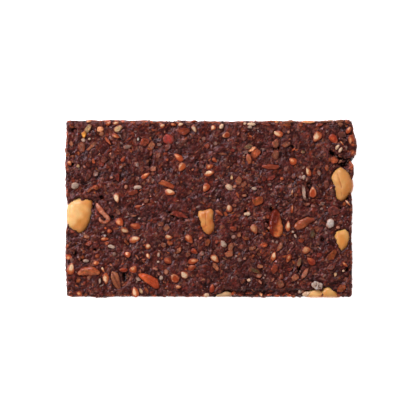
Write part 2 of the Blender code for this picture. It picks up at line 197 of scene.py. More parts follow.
# Corners of the outlines seen from above, in mm from the nut's centre, counterclockwise. Each line
# between two is cut in steps, and the corners are rounded over some degrees.
OUTLINES = {
    "peanut_left": (
        (3.4, 0.2), (3.45, 2.2), (3.3, 3.8), (2.2, 4.3), (-0.5, 4.5), (-2.6, 4.2), (-3.5, 2.8), (-3.8, 0.4),
        (-3.8, -2.2), (-3.3, -3.9), (-1.8, -5.2), (0, -5.7), (1.7, -4.5), (2.8, -2.4),
    ),
    "peanut_middle": (
        (1.9, 0.8), (2.15, 2.75), (1.3, 3.7), (-0.7, 3.2), (-2.3, 2.9), (-2.45, 1.7), (-1.9, 0.1),
        (-1.5, -1.6), (-0.7, -3.1), (0.4, -4), (1.2, -3.8), (2.1, -2.6), (2.4, -1),
    ),
    "peanut_right": (
        (2.9, -0.5), (2.7, 1.1), (1.8, 3.1), (0.5, 4.3), (-0.9, 5), (-2.2, 4.3), (-3.3, 2.7), (-3.5, 1.8),
        (-2.75, 0), (-2.3, -2.1), (-1.95, -4), (-0.9, -5.1), (0, -4.8), (1.3, -3.5), (2.6, -1.9),
    ),
    "peanut_low_right": (
        (2.05, -0.5), (2.25, 1), (1.9, 2.4), (1.1, 3.2), (-1.7, 2.6), (-2.3, 1), (-1.9, -0.1), (-1.5, -1.6),
        (-0.2, -3.3), (1, -2.6),
    ),
    "peanut_front_corner": (
        (2.9, -1.45), (2.2, -0.5), (1.4, 0.5), (0.2, 1.4), (-1, 1.9), (-2.3, 1.5), (-2.9, 0.4),
        (-2.8, -0.9), (-1.9, -1.45), (-0.4, -1.5), (1.5, -1.5),
    ),
    "peanut_front": (
        (3.2, -0.6), (2.9, 0.4), (1.5, 1.15), (0, 1.4), (-1.6, 1), (-2.8, 0.4), (-3.6, -0.4), (-2.9, -0.95),
        (-1, -1.2), (1, -1.2), (2.6, -1.1),
    ),
    "peanut_front_middle": (
        (2.6, 0), (2.1, 0.6), (1, 0.85), (-0.1, 0.6), (-1.5, 0.1), (-2.7, -0.55), (-1.5, -0.75),
        (0.5, -0.75), (2.4, -0.65),
    ),
    "almond_sliver": (
        (2.8, -0.7), (2.2, 0.6), (0.4, 1.7), (-1.6, 2.3), (-3.4, 2.2), (-2.9, 1.3), (-1.6, 0.1),
        (0.1, -1.1), (1.6, -2.1), (2.7, -1.9),
    ),
    "almond_leaf": (
        (1.3, -0.7), (0.6, 1.9), (-1.2, 2.7), (-1.5, 0.6), (-0.8, -1.3), (0.5, -2.6), (1.5, -2.5),
    ),
    "kernel_dark": (
        (1.5, 0.9), (1.1, 3), (-0.1, 3.9), (-1.3, 3), (-1.9, 0.3), (-1.8, -2.2), (-0.8, -4), (0.9, -4.3),
        (2, -3), (2, -1),
    ),
    "kernel_covered": (
        (1.7, 0.1), (3.9, 1.2), (3, 1.4), (0.6, 1.7), (-2, 0.7), (-3.2, -0.7), (-3.1, -1.5), (-2.2, -2.1),
        (-0.4, -1.5),
    ),
    "kernel_upper_left": (
        (2.9, -1.1), (0.9, 0.3), (-1.2, 1.2), (-2.8, 1.1), (-2.6, 0.1), (-0.4, -0.8), (2.1, -1.6),
    ),
}
NUT_SCALE = 1.045
OUTLINE_STEPS = 12
OUTLINE_ROUNDING = 21
NUT_SEGMENTS = 72
NUT_RINGS = 40
ROUNDNESS = 3.0
# Grooves and cracks over a nut's top: start, end, half width and depth in mm
NUT_CUTS = {
    "peanut_middle": (
        ((-0.2, 3.2), (-0.1, -1.0), 0.14, 0.12), ((-1.4, -1.9), (0.3, -1.2), 0.15, 0.14),
        ((-1.1, 2.9), (-1.0, 1.0), 0.2, 0.05),
    ),
    "peanut_right": (
        ((-1.8, 3.5), (-1.2, 1.5), 0.12, 0.20), ((-1.2, 1.5), (-0.5, -0.9), 0.14, 0.26),
        ((-0.5, -2.2), (-0.5, -3.1), 0.12, 0.15),
    ),
    "kernel_dark": (
        ((0.2, 2.4), (-0.4, 0.5), 0.45, 0.18), ((-0.4, 0.5), (0.1, -2.0), 0.5, 0.18),
    ),
    "almond_sliver": (
        ((-2.3, 1.9), (1.8, -0.4), 0.12, 0.10), ((-1.6, 1.2), (1.4, -1.0), 0.12, 0.08),
    ),
    "almond_leaf": (((-0.9, 1.8), (0.9, -1.9), 0.25, 0.25),),
    "kernel_upper_left": (((-2.0, 0.8), (1.6, -0.7), 0.15, 0.08),),
}

# On the top the paste meets a nut at NUT_MEETS, as a share of the way out to its outline, and is dug
# out to NUT_DIG below its own level inside. On the sides a nut shows where it is no deeper in the
# paste than NUT_SHOWS. NUT_REACH is how far from the paste nuts are looked for there. NUT_CREVICE is
# how wide the ring of painted shade round a nut on the top is.
NUT_MEETS = 0.965
NUT_DIG = 2.8 * MM
NUT_CREVICE = 0.28 * MM
NUT_SHOWS = 0.9 * MM
NUT_REACH = 3.0 * MM
# Where the paste laps onto a nut: place and radius in mm
LAP_RISE = 0.22 * MM
LAPS = (
    (-39.1, 2.7, 1.3), (-35.3, 2.9, 0.6), (-37.6, 3.2, 0.6), (-39.4, -6.4, 1.5), (-37.8, -7.2, 1.3),
    (-39.9, -4.9, 0.6), (35, -8.9, 0.8), (35.4, -10.6, 0.9), (24.2, -3, 0.5), (30.3, -2.9, 0.8),
    (28.4, -4.6, 0.6), (-9.2, 5.7, 0.7), (-13.9, 7.9, 0.6), (17, -1.2, 0.6), (20.2, -0.7, 0.5),
)

# Colours as they look in even light: red, green and blue from 0 to 255
# Painted shade: the near black put into the paste's crevices, hollows and the rings round its pieces and nuts
CREVICE_SHADE = (20, 4, 3)
PLUM = (84, 36, 31)
MAUVE = (105, 62, 59)
RED_BROWN = (116, 46, 28)
# Painted light: the red-orange on the upper sides along the top edges, where the side lights catch them
PAINTED_EDGE_LIGHT = (196, 98, 54)
STAIN = (136, 56, 32)
SEED_CREAM = (222, 184, 142)
# Small bits in the paste, the first one the paste itself, and where each of the others' share ends
BIT_TONES = ((0, 0, 0), (122, 68, 48), (128, 54, 30), (124, 84, 68), (58, 22, 18))
BIT_EDGES = (0.14, 0.24, 0.32, 0.46)
TONES = {
    "umber": (88, 50, 40),
    "brown": (114, 68, 48),
    "tan": (134, 84, 58),
    "grey": (120, 94, 82),
    "olive": (108, 84, 60),
    "green": (74, 58, 34),
    "straw": (168, 138, 96),
    "amber": (126, 64, 34),
    "rust": (120, 52, 32),
    "orange": (157, 77, 44),
    "yellow": (222, 158, 66),
    "wine": (106, 40, 30),
    "pink": (162, 106, 82),
    "honey": (148, 82, 50),
    "pale": (164, 140, 122),
    "cream": (192, 162, 132),
    "white": (180, 166, 154),
    "plum": (82, 44, 40),
    "peach": (206, 142, 98),
    "fruit": (142, 50, 42),
}
LOW_TONES = ("umber", "umber", "plum", "plum", "plum", "brown", "brown", "amber", "umber", "grey")
SIDE_TONES = ("umber", "brown", "tan", "grey", "amber", "rust", "orange", "wine", "brown", "umber", "pink")
GRAIN_TONES = ("pale", "cream", "pink", "pale", "grey")
SIDE_SEED_TONES = ("cream", "cream", "orange", "orange", "rust", "red", "ring", "tan")
# Sesame seeds: their body, their pale patch, which is painted light on the side toward the key lights, its
# size, and how pale the tip is
SEED_TONES = {
    "cream": ((162, 84, 46), (211, 177, 138), 0.56, 0.3),
    "pale": ((172, 122, 86), (198, 172, 140), 0.78, 0.4),
    "orange": ((150, 64, 32), (206, 146, 102), 0.4, 0.6),
    "rust": ((128, 52, 30), (177, 98, 62), 0.42, 0.4),
    "red": ((124, 42, 26), (167, 76, 44), 0.4, 0.8),
    "ring": ((138, 56, 30), (207, 165, 126), 0.32, 0.5),
    "half": ((168, 82, 44), (213, 175, 134), 0.25, 0.5),
    "tan": ((140, 80, 50), (180, 126, 88), 0.58, 0.1),
}
# Seeds whose pale part is a ring, and how far it is open on one side, which faces the key lights as painted
# light
OPEN_RINGS = {"ring": 0.15, "half": 0.45}
# Nuts: the light tone and the warm one, in patches of the nut's own colour and also set as painted light on
# the side toward the key lights and painted shade on the far side (kernel_dark runs from its dark tone
# to an amber stripe on its right), and the tone of the painted shade at the rim, underside and cracks
NUT_TINTS = {
    "peanut_left": ((217, 172, 110), (195, 130, 66), (156, 76, 32)),
    "peanut_middle": ((197, 139, 79), (174, 97, 45), (122, 52, 22)),
    "peanut_right": ((199, 148, 87), (184, 120, 62), (138, 62, 28)),
    "peanut_low_right": ((207, 155, 88), (193, 128, 62), (144, 68, 30)),
    "peanut_front_corner": ((205, 161, 98), (190, 128, 62), (154, 78, 34)),
    "peanut_front": ((218, 170, 108), (196, 122, 64), (150, 66, 28)),
    "peanut_front_middle": ((186, 150, 112), (172, 128, 86), (120, 66, 36)),
    "almond_sliver": ((184, 82, 42), (156, 62, 32), (92, 34, 22)),
    "almond_leaf": ((142, 84, 54), (112, 58, 38), (74, 30, 20)),
    "kernel_dark": ((100, 32, 18), (188, 104, 56), (62, 18, 10)),
    "kernel_covered": ((152, 82, 50), (112, 50, 32), (72, 28, 18)),
    "kernel_upper_left": ((156, 78, 44), (128, 54, 30), (80, 30, 20)),
}
# How much warmer a nut is to its right, to its back and all over. This tilts the nuts from painted light
# at the back left, toward the key lights, to painted shade at the front right.
WARM_SIDES = {"any": (0.20, -0.12, 0.0), "kernel_dark": (0.9, -0.16, -0.6)}

# Pieces of the top: place, half length and half width in mm, turn in degrees from +X, and tone.
# A sesame seed's tip points along its turn.
TOP_SEEDS = pieces(
    (-26, 20.4, 1.15, 0.55, -25, "orange"), (-4.1, 22.4, 1.15, 0.55, -62, "pale"),
    (-28.1, 23.9, 0.8, 0.5, 20, "orange"), (-26, 24, 0.95, 0.45, 10, "cream"),
    (-13, 23.3, 0.8, 0.6, 20, "cream"), (-9.9, 23.6, 0.8, 0.4, -10, "orange"),
    (-7.9, 23.7, 0.8, 0.45, 10, "pale"), (-8.5, 14.5, 1.65, 0.75, 142, "orange"),
    (-7.6, 11.7, 1.35, 0.9, 240, "half"), (-24, 14, 0.9, 0.5, 55, "red"),
    (-17.8, 9.3, 1.5, 0.6, 33, "orange"), (-25.8, 3.1, 1.4, 0.75, -75, "pale"),
    (-10.9, 4.7, 1.55, 0.85, -14, "cream"), (-0.8, 6, 1.3, 0.9, 240, "orange"),
    (0.1, 10, 1.5, 0.75, 12, "cream"), (-19.7, 0.7, 1.15, 0.4, 10, "rust"),
    (-39, 12.8, 0.75, 0.55, -60, "orange"), (1.2, 22.7, 0.85, 0.65, 230, "cream"),
    (4.8, 20.7, 1.15, 0.75, 200, "ring"), (19.3, 21.1, 1.6, 0.75, 160, "cream"),
    (30.3, 20.2, 1.6, 1.05, 238, "cream"), (34.9, 19.6, 1.55, 0.95, -50, "red"),
    (37.2, 18.4, 0.8, 0.25, -50, "orange"), (39.9, 19.1, 1.7, 0.8, -84, "orange"),
    (39.1, 22.1, 1.1, 0.6, 60, "orange"), (1.6, 13.7, 0.95, 0.5, -42, "rust"),
    (0.2, 11.8, 1.1, 0.7, 20, "orange"), (23.5, 13.4, 1.2, 0.9, 140, "orange"),
    (27.8, 10.5, 1.4, 0.65, 112, "cream"), (29.1, 4.7, 1.6, 0.9, 88, "ring"),
    (23.3, 4.7, 0.85, 0.27, 85, "cream"), (5.7, 0.2, 1.2, 0.8, 100, "cream"),
    (23.3, 0, 1.2, 0.3, 85, "orange"), (38.9, 1.7, 1.05, 0.3, -50, "cream"),
    (-24.9, -3.7, 1.3, 0.95, -50, "orange"), (-20.5, -4.8, 1.6, 0.8, 166, "rust"),
    (-23.4, -6, 1.4, 0.7, -24, "cream"), (-20.7, -8.5, 1.55, 0.85, 12, "cream"),
    (-29.2, -8.4, 1.3, 0.5, 0, "orange"), (-17, -10.5, 0.85, 0.75, 0, "cream"),
    (-22.7, -12.7, 1, 0.85, -80, "orange"), (-31.5, -15.1, 0.9, 0.65, 0, "orange"),
    (-39.1, -13.5, 1, 0.7, -10, "orange"), (-38.6, -16.7, 1.7, 0.95, 78, "cream"),
    (-29.7, -16.9, 1.05, 0.35, -62, "cream"), (-28.8, -19.5, 1.6, 0.8, -86, "cream"),
    (-24, -17, 1.25, 0.6, 178, "red"), (-21.1, -16.9, 1.2, 0.95, 60, "orange"),
    (-17, -13.2, 0.9, 0.5, -58, "cream"), (-11.2, -7.9, 1.1, 0.65, -6, "cream"),
    (-5.5, -8.4, 1.5, 0.9, -50, "orange"), (-4, -11.9, 1.1, 0.6, -38, "red"),
    (-11.4, -14.5, 1.2, 0.8, -35, "rust"), (-4.3, -14.6, 1.5, 0.75, 10, "orange"),
    (-4.8, -16.4, 1.3, 0.75, 20, "rust"), (-6.9, -18.4, 1.2, 0.9, 135, "pale"),
    (-9.6, -19.3, 1.5, 1, 125, "ring"), (-20.6, -23.2, 1.55, 0.9, 108, "cream"),
    (-8.6, -21.8, 0.95, 0.55, 0, "tan"), (-36.1, -23.8, 0.95, 0.6, -50, "orange"),
    (-27.8, -6.2, 0.7, 0.6, 0, "rust"), (-28.5, -9.6, 0.6, 0.55, 30, "rust"),
    (-31.2, -13.2, 0.7, 0.55, 30, "rust"), (2.8, -1, 1.4, 0.5, -35, "rust"),
    (12.7, -5.6, 1.5, 0.9, -66, "tan"), (22.1, -4.9, 1.65, 0.7, 84, "cream"),
    (1.7, -13.9, 1.4, 0.85, -46, "cream"), (18.1, -13.2, 1.4, 0.7, 72, "cream"),
    (22.3, -13.8, 1.3, 0.65, 250, "orange"), (28.6, -14.6, 1.4, 0.85, 140, "red"),
    (38, -15.5, 1.05, 0.4, -38, "orange"), (0.9, -22.2, 1.25, 0.65, 85, "red"),
    (27.3, -11.5, 1.25, 0.95, 10, "tan"),
)
TOP_CHIPS = pieces(
    (-25.3, 22.5, 1.25, 0.85, 30, "straw"), (-28.3, 19.1, 1.45, 0.4, -45, "orange"),
    (-22.4, 19.6, 2.15, 0.27, 34, "rust"), (-35.6, 17.4, 1.4, 1.25, 80, "brown"),
    (-32.8, 17.5, 1.7, 0.6, 42, "tan"), (-38.4, 18.2, 0.8, 0.6, 100, "tan"),
    (-22.6, 17.4, 1.25, 0.65, 15, "grey"), (-17.9, 18.6, 1.3, 1.2, 20, "rust"),
    (-16.2, 18, 1, 0.7, 60, "tan"), (-15.8, 17.7, 1.1, 0.7, 70, "tan"), (-7, 21.7, 1.65, 1.05, 10, "rust"),
    (-13.9, 18, 0.85, 0.5, 20, "grey"), (-16.2, 15.6, 1.05, 0.3, 80, "rust"),
    (-14.1, 14.9, 0.85, 0.6, 80, "brown"), (-11.7, 13.8, 0.4, 0.4, 0, "orange"),
    (-32.3, 13.4, 0.75, 0.45, 100, "orange"), (-29.2, 13.8, 0.95, 0.9, 0, "umber"),
    (-30, 12.4, 0.7, 0.6, 0, "wine"), (-36.6, 12, 0.65, 0.5, 0, "straw"),
    (-31.6, 9.8, 0.95, 0.6, 10, "grey"), (-25.5, 9, 1.25, 0.55, 95, "wine"),
    (-15.5, 11.3, 1, 0.8, 0, "pink"), (-20.1, 12.5, 0.95, 0.6, -60, "grey"),
    (-20, 8.4, 0.7, 0.45, 70, "grey"), (-33.9, 9, 1.4, 0.75, 80, "umber"),
    (-21.2, 4.7, 1.25, 0.85, 20, "rust"), (-17.6, 2.3, 0.85, 0.6, 10, "brown"),
    (-11.5, 17.3, 1.2, 0.8, 60, "umber"), (-0.5, 17.6, 0.8, 0.65, 0, "rust"),
    (-33.9, 22.4, 1.4, 0.75, 58, "straw"), (-35, 21, 1, 0.75, 70, "yellow"),
    (18.7, 18.2, 1.25, 1.1, 75, "brown"), (18.8, 15.2, 1.35, 1.15, 95, "brown"),
    (21.7, 18, 1.2, 0.8, 20, "brown"), (23.7, 16.7, 0.6, 0.25, 30, "orange"),
    (11.2, 17.6, 1.4, 0.7, 15, "olive"), (10.3, 15.9, 0.8, 0.65, 0, "grey"),
    (13.2, 15.7, 1.5, 1.2, 35, "orange"), (12.2, 16.8, 1.3, 0.5, 35, "peach"),
    (6.7, 16.4, 0.7, 0.55, 0, "wine"), (3.7, 15.4, 1.3, 0.4, 0, "brown"),
    (30.9, 10, 0.85, 0.6, -60, "grey"), (35.2, 13.6, 1.25, 0.95, -10, "orange"),
    (15.5, 8.4, 0.7, 0.65, 0, "wine"), (17.5, 8.6, 1.3, 0.55, 32, "wine"), (8.4, 8, 1.3, 0.9, 80, "tan"),
    (6.4, 8.8, 0.7, 0.4, 85, "straw"), (9.7, 6.9, 0.95, 0.75, 70, "brown"),
    (26.6, 4.6, 2.1, 0.6, 98, "pale"), (32.9, 6.6, 1.4, 0.65, 88, "umber"), (10, 3.8, 0.7, 0.5, 0, "tan"),
    (13.5, 2.1, 1.65, 1.4, 20, "amber"), (31.7, 1.5, 0.85, 0.7, 0, "grey"),
    (27.4, 1.3, 0.85, 0.6, 0, "brown"), (33.7, 3, 0.85, 0.6, 20, "umber"), (22, 23.6, 1.3, 0.6, 0, "amber"),
    (9.7, 20.1, 1.2, 0.8, 80, "umber"), (1.8, 18.4, 0.7, 0.55, 0, "grey"),
    (33, 11.6, 0.9, 0.65, 90, "amber"), (26.3, 16, 0.7, 0.55, 0, "olive"),
    (15.9, 23.7, 1.5, 0.4, -10, "rust"), (25.5, 23.5, 0.95, 0.4, 0, "amber"),
    (30.9, 23.5, 1.2, 0.45, 10, "rust"), (37.3, 20.8, 1.1, 0.8, 0, "umber"),
    (-25.4, -0.9, 0.9, 0.6, -70, "brown"), (-21, -1.9, 0.95, 0.3, 5, "tan"),
    (-23, -2.2, 0.85, 0.3, 10, "grey"), (-11.9, -5.3, 1.25, 0.8, 48, "tan"),
    (-8.3, -1.5, 2.45, 0.8, -16, "wine"), (-13.5, -4.2, 0.95, 0.75, 0, "brown"),
    (-2.3, -8.1, 0.6, 0.3, 35, "orange"), (-10.8, -9.5, 1, 0.6, -20, "amber"),
    (-12.7, -10.1, 0.9, 0.7, -60, "brown"), (-8.4, -11.6, 1, 0.7, 60, "tan"),
    (-12, -17.5, 0.95, 0.7, 80, "tan"), (-18.9, -23, 0.85, 0.45, -70, "straw"),
    (-33.7, -9.7, 0.9, 0.7, 30, "rust"), (-34.4, -7.6, 1.1, 0.6, -25, "tan"),
    (-19.8, -19.6, 0.7, 0.5, -10, "pale"), (-20.1, -13.5, 0.9, 0.25, -60, "tan"),
    (-23, -9.4, 0.95, 0.4, -50, "amber"), (-17.4, -22.8, 1.2, 0.4, -60, "amber"),
    (-5.9, -12.9, 0.8, 0.65, 0, "brown"), (-36.5, -19.9, 0.95, 0.55, 75, "amber"),
    (14.6, -24, 0.5, 0.6, 20, "peach"), (16.9, -24.1, 0.8, 0.4, 10, "orange"),
    (17.5, -22.9, 0.7, 0.25, -5, "rust"), (19.2, -24.3, 0.8, 0.35, 5, "orange"),
    (22.6, -24.3, 0.8, 0.38, 0, "orange"), (9, -24.2, 0.6, 0.3, -10, "rust"),
    (21, -24.1, 0.5, 0.3, 30, "rust"), (-1.8, -12.4, 0.8, 0.65, 80, "grey"),
    (-0.3, -9.4, 1.1, 0.8, 60, "amber"), (-29.7, -6.5, 0.55, 0.35, 20, "grey"),
    (6.8, -5.6, 1, 0.85, 0, "rust"), (8.4, -7.3, 0.85, 0.55, 80, "tan"),
    (10.4, -8.2, 1.1, 0.55, -10, "amber"), (6.1, -10.6, 1.25, 0.9, 80, "tan"),
    (5.6, -12.6, 1.35, 1.05, 30, "tan"), (1.8, -16.1, 1.45, 0.7, -60, "tan"),
    (2.2, -9.2, 0.7, 0.5, 60, "rust"), (12.1, -10.9, 1.15, 0.65, 10, "tan"),
    (15.4, -10, 1.1, 0.8, -10, "orange"), (19.9, -10.5, 1.5, 0.65, 60, "tan"),
    (25.8, -8.8, 0.85, 0.65, 0, "rust"), (34.4, -13, 1.7, 1.05, 42, "amber"),
    (25.3, -14.8, 1.3, 0.65, 65, "olive"), (14.3, -16.1, 0.85, 0.7, 0, "tan"),
    (18.3, -16.7, 1.5, 0.9, 80, "rust"), (13.9, -18.7, 0.9, 0.7, 20, "pink"),
    (24.1, -19.3, 1.1, 0.9, 10, "tan"), (20, -20.9, 1.25, 1, -20, "brown"),
    (37, -22.3, 1.35, 1, 20, "amber"), (26.9, -18, 1.75, 0.6, 60, "pink"),
    (35.4, -18.3, 0.7, 0.4, 60, "straw"), (16.4, -2.2, 0.8, 0.65, 0, "rust"),
    (34.9, -0.6, 1.5, 1.4, 0, "plum"), (14.3, -20.4, 0.8, 0.4, -40, "pink"),
    (3.8, -19.1, 0.8, 0.3, 30, "rust"), (30.9, -12.9, 0.8, 0.65, 20, "wine"),
    (22.6, -16.9, 0.7, 0.55, 0, "wine"), (17.8, -19.9, 0.8, 0.27, 50, "tan"),
    (29, -7, 1.3, 0.7, 80, "green"), (12.9, -17.2, 1.6, 0.6, -20, "green"),
    (34.1, -16.4, 1.2, 0.8, 20, "umber"), (11.3, -23.6, 1.2, 0.3, 0, "rust"),
    (6.9, -23.7, 0.75, 0.6, 0, "orange"),
)
TOP_GRAINS = pieces(
    (-37.5, 6.5, 1.05, 1, 0, "pale"), (-35.1, 19.3, 0.6, 0.55, 0, "pale"),
    (-19.8, 19.5, 0.45, 0.27, 80, "white"), (-20, 6.1, 1.15, 0.6, 10, "pale"),
    (-23.2, 6.2, 0.55, 0.45, 80, "pink"), (-27.2, 8.8, 0.5, 0.3, 20, "pink"),
    (-30, 21, 0.7, 0.55, 0, "tan"), (-30.4, 22.3, 0.95, 0.85, 0, "peach"),
    (3.5, 23.1, 0.7, 0.6, 60, "cream"), (11.9, 23.7, 1.2, 0.5, 0, "cream"),
    (10.1, 23.9, 0.45, 0.4, 0, "cream"), (11.5, 22.9, 0.7, 0.4, 0, "pale"),
    (35.9, 17.3, 0.85, 0.45, 60, "cream"), (36.8, 16.5, 0.8, 0.45, 60, "cream"),
    (36.8, 23.7, 0.7, 0.5, -10, "tan"), (26.5, 8.9, 0.7, 0.5, 80, "pale"),
    (5.7, 6.1, 1.1, 0.85, -36, "cream"), (7.2, 6.3, 0.5, 0.4, 30, "pink"),
    (22.3, 21.5, 0.4, 0.45, 0, "pink"), (20.4, 8.5, 0.5, 0.45, 0, "orange"),
    (12.7, 5.7, 0.7, 0.5, 0, "pale"), (-27.3, -10.5, 0.95, 0.55, -16, "pale"),
    (-26.4, -12.6, 0.6, 0.55, 0, "grey"), (-34.4, -14.5, 0.85, 0.5, 0, "pale"),
    (-33.4, 19.6, 0.35, 0.3, 0, "cream"), (-14.1, -12.8, 0.6, 0.4, 80, "pale"),
    (-14.2, -14.8, 0.4, 0.3, 0, "pale"), (-29.1, -7.5, 0.37, 0.3, 0, "white"),
    (-13.3, -19.3, 0.7, 0.55, 80, "pale"), (-15, -16.7, 0.8, 0.35, -20, "pink"),
    (-30.5, -20.1, 0.8, 0.3, 85, "pale"), (-19.5, -2.7, 0.35, 0.27, 0, "pale"),
    (10.3, -1.4, 0.5, 0.45, 0, "cream"), (11, -1.3, 0.55, 0.6, 0, "cream"),
    (16.8, -5.3, 0.43, 0.4, 0, "pink"), (34, -4, 1.3, 1.15, 80, "white"),
    (36.1, -5.2, 0.55, 0.43, 0, "pink"), (4.1, -9.8, 1.1, 0.8, -62, "pale"),
    (11.2, -19.9, 0.55, 0.45, 0, "cream"), (23.5, -6.4, 0.35, 0.35, 0, "pale"),
    (24.2, -7.6, 0.6, 0.33, -60, "pale"), (15.4, -2.5, 0.45, 0.4, 0, "pink"),
    (37.6, -17.3, 0.35, 0.33, 0, "cream"), (25.5, -23.1, 0.6, 0.55, 0, "pale"),
    (-0.7, -24.1, 0.8, 0.6, 20, "cream"), (10, -13.9, 0.4, 0.35, 0, "pink"),
    (27.3, -23.8, 1.2, 0.7, 15, "cream"), (26.3, -23.1, 0.5, 0.4, 0, "tan"),
    (27.7, 24.35, 1.9, 0.42, 0, "peach"), (19, 24.4, 0.6, 0.4, 0, "peach"),
    (36.5, 24.6, 1.2, 0.45, 5, "tan"), (22.3, 24.45, 1.6, 0.3, 2, "tan"), (32.6, 24.5, 1.4, 0.3, -2, "tan"),
    (-33.6, 24.5, 0.7, 0.3, 10, "peach"),
)
# Smooth kernels half sunk in the paste, and the candied fruit
TOP_KERNELS = pieces(
    (11.2, 14.0, 1.6, 0.75, -75, "honey"), (17.4, 11.8, 2.5, 0.72, -2, "rust"),
    (-11.4, 19.6, 1.65, 1.45, 0, "fruit"),
)
TOP_PIECES = TOP_SEEDS + TOP_CHIPS + TOP_GRAINS + TOP_KERNELS
# Curled husks: their tone, and the places that they pass with the half width there, in mm
HUSKS = (
    ("pink", (
        (-31.5, 1.9, 0.5), (-31.0, 0.7, 0.75), (-30.3, -0.4, 0.75), (-29.4, -1.5, 0.65), (-28.5, -2.1, 0.7),
        (-28.0, -2.9, 0.6), (-28.6, -3.8, 0.5), (-29.9, -3.8, 0.5), (-30.7, -2.9, 0.45), (-30.4, -2.2, 0.3),
    )),
    ("amber", ((-34.0, 4.6, 0.3), (-33.0, 5.6, 0.4), (-31.8, 6.2, 0.6), (-30.9, 5.4, 0.5))),
    ("honey", (
        (-36.7, -18.4, 0.5), (-35.8, -17.7, 0.95), (-34.2, -17.3, 1.25), (-32.5, -17.4, 1.2),
        (-31.1, -17.8, 0.95), (-30.5, -18.2, 0.5),
    )),
)
HUSK_SECTIONS = 30
HUSK_SIDES = 10
# The white flake: centre, half sizes along, across and up in mm, and turn in degrees
FLAKE = (30.2, -21.4, 9.95)
FLAKE_SIZE = (1.5, 1.0, 0.5)
FLAKE_TURN = -20
# How far the paste lies lower under a piece and under a husk
PIECE_DROP = 0.12 * MM
HUSK_DROP = 0.15 * MM
# A chip's outline is cut by straight lines. Its circles go from its underside to its top, each with
# its share of the outline and its height.
CHIP_CUTS = 6
CHIP_SCALE = (1.12, 1.12, 1)
CHIP_LEVELS = ((0.84, -1.0), (1.0, -0.3), (1.0, 0.2), (0.94, 0.72), (0.78, 1.0), (0.42, 1.0))
SMALL_CHIP_LEVELS = ((0.80, -1.0), (1.0, -0.2), (0.97, 0.4), (0.76, 1.0))
# Room that scattered pieces leave free round the top's own pieces, husks and flake, in mm
PIECE_CLEAR = 0.15
HUSK_CLEAR = 0.3
FLAKE_CLEAR = 0.6
# Room that they leave free along the slab's edges on its sides
CORNER_CLEAR = 1.4 * MM
TOP_CLEAR = 0.7 * MM
FOOT_CLEAR = 0.5 * MM

# Looks of each material. Sizes are in mm.
Finish = namedtuple("Finish", "roughness spread mottle mottle_size swing bump bump_size soft specular")
FINISHES = {
    "paste": Finish(0.18, 0.05, 0.42, 0.55, 0.42, 0.16, 0.40, 0.0, 0.24),
    "chips": Finish(0.22, 0.06, 0.36, 0.45, 0.35, 0.08, 0.4, 0.0, 0.25),
    "pale_crumbs": Finish(0.34, 0.06, 0.18, 0.4, 0.12, 0.04, 0.4, 0.10, 0.25),
    "seeds": Finish(0.22, 0.06, 0.14, 0.35, 0.14, 0.02, 0.3, 0.08, 0.30),
    "peanut": Finish(0.30, 0.06, 0.06, 1.2, 0.06, 0.02, 0.6, 0.2, 0.20),
    "almond": Finish(0.26, 0.06, 0.18, 0.5, 0.2, 0.05, 0.4, 0.1, 0.25),
    "kernel": Finish(0.22, 0.06, 0.24, 0.7, 0.25, 0.06, 0.5, 0.05, 0.28),
}
# The colour of the gloss, and how red, green and blue change where a surface is warmer
GLOSS_TINT = (1.0, 0.74, 0.78, 1)
GLOSS_SIZE = 1.1
WARM_WAY = (0.7, -0.35, -0.6)
# How far red, green and blue light go below the surface
SOFT_WAYS = (1.0, 0.45, 0.2)
SOFT_DEPTH = 1.2 * MM
# The part of the noise texture's range that is used
NOISE_SPAN = (0.32, 0.68)

# Light from all round, which fades out between these heights of its direction
SKY_COLOUR = (1.0, 0.80, 0.77, 1)
SKY_LIGHT = 0.27
SKY_FADE = (0.60, 0.78)
# Soft lights: name, azimuth and elevation in degrees, distance and size in metres, power and colour
SOFTBOXES = (
    ("key_left", 162, 42, 0.7, 0.15, 3.65, (0.90, 0.88, 0.95)),
    ("key_back", 108, 42, 0.7, 0.15, 3.65, (0.90, 0.88, 0.95)),
    ("fill_right", 10, 35, 0.8, 0.7, 1.5, (1.0, 0.90, 0.86)),
    ("fill_front", -100, 35, 0.8, 0.7, 1.5, (1.0, 0.92, 0.88)),
)
FLOOR_REACH = 2.0

# The camera's height and place over the bar in metres, and the size of a pixel of its picture there
FRAME_PIXELS = 416
PIXEL = 0.2797 * MM
CAMERA_HEIGHT = 0.70
CAMERA_OVER = (-0.25 * MM, 0.28 * MM)
SENSOR = 36.0


def smooth(value, start, end):
    """0 at start and 1 at end, with an even slope between."""
    t = np.clip((value - start) / (end - start), 0, 1)
    return t * t * (3 - 2 * t)


def bell(distance, half):
    """1 where the distance is 0, falling off on both sides over the half width."""
    return np.exp(-((distance / half) ** 2))


def light_of(colour):
    """Linear red, green and blue of a colour from 0 to 255."""
    part = np.asarray(colour, float) / 255
    return np.where(part <= 0.04045, part / 12.92, ((part + 0.055) / 1.055) ** 2.4)


def blend(a, b, share):
    """The colour a where share is 0 and b where it is 1."""
    return np.asarray(a) + (np.asarray(b) - a) * np.asarray(share)[..., None]


def shift_of(seed):
    """The place that a seed moves the noise to."""
    return Vector((seed * 17.3, seed * 5.1, seed * 11.7))


def noise_at(points, size, seed):
    """Smooth noise from about -1 to 1 at each point, with lumps of the size."""
    shift = shift_of(seed)
    return np.array([noise.noise(Vector(p) + shift) for p in points / size])


def layer(name, points, step=0):
    """One of the named layers of noise at each point. The step moves on to another seed."""
    strength, size, seed = LAYERS[name]
    return strength * noise_at(points, size * MM, seed + step)


def layer_ways(name, points):
    """A layer of noise along X, Y and Z, each with the next seed."""
    return np.column_stack([layer(name, points, step) for step in range(3)])


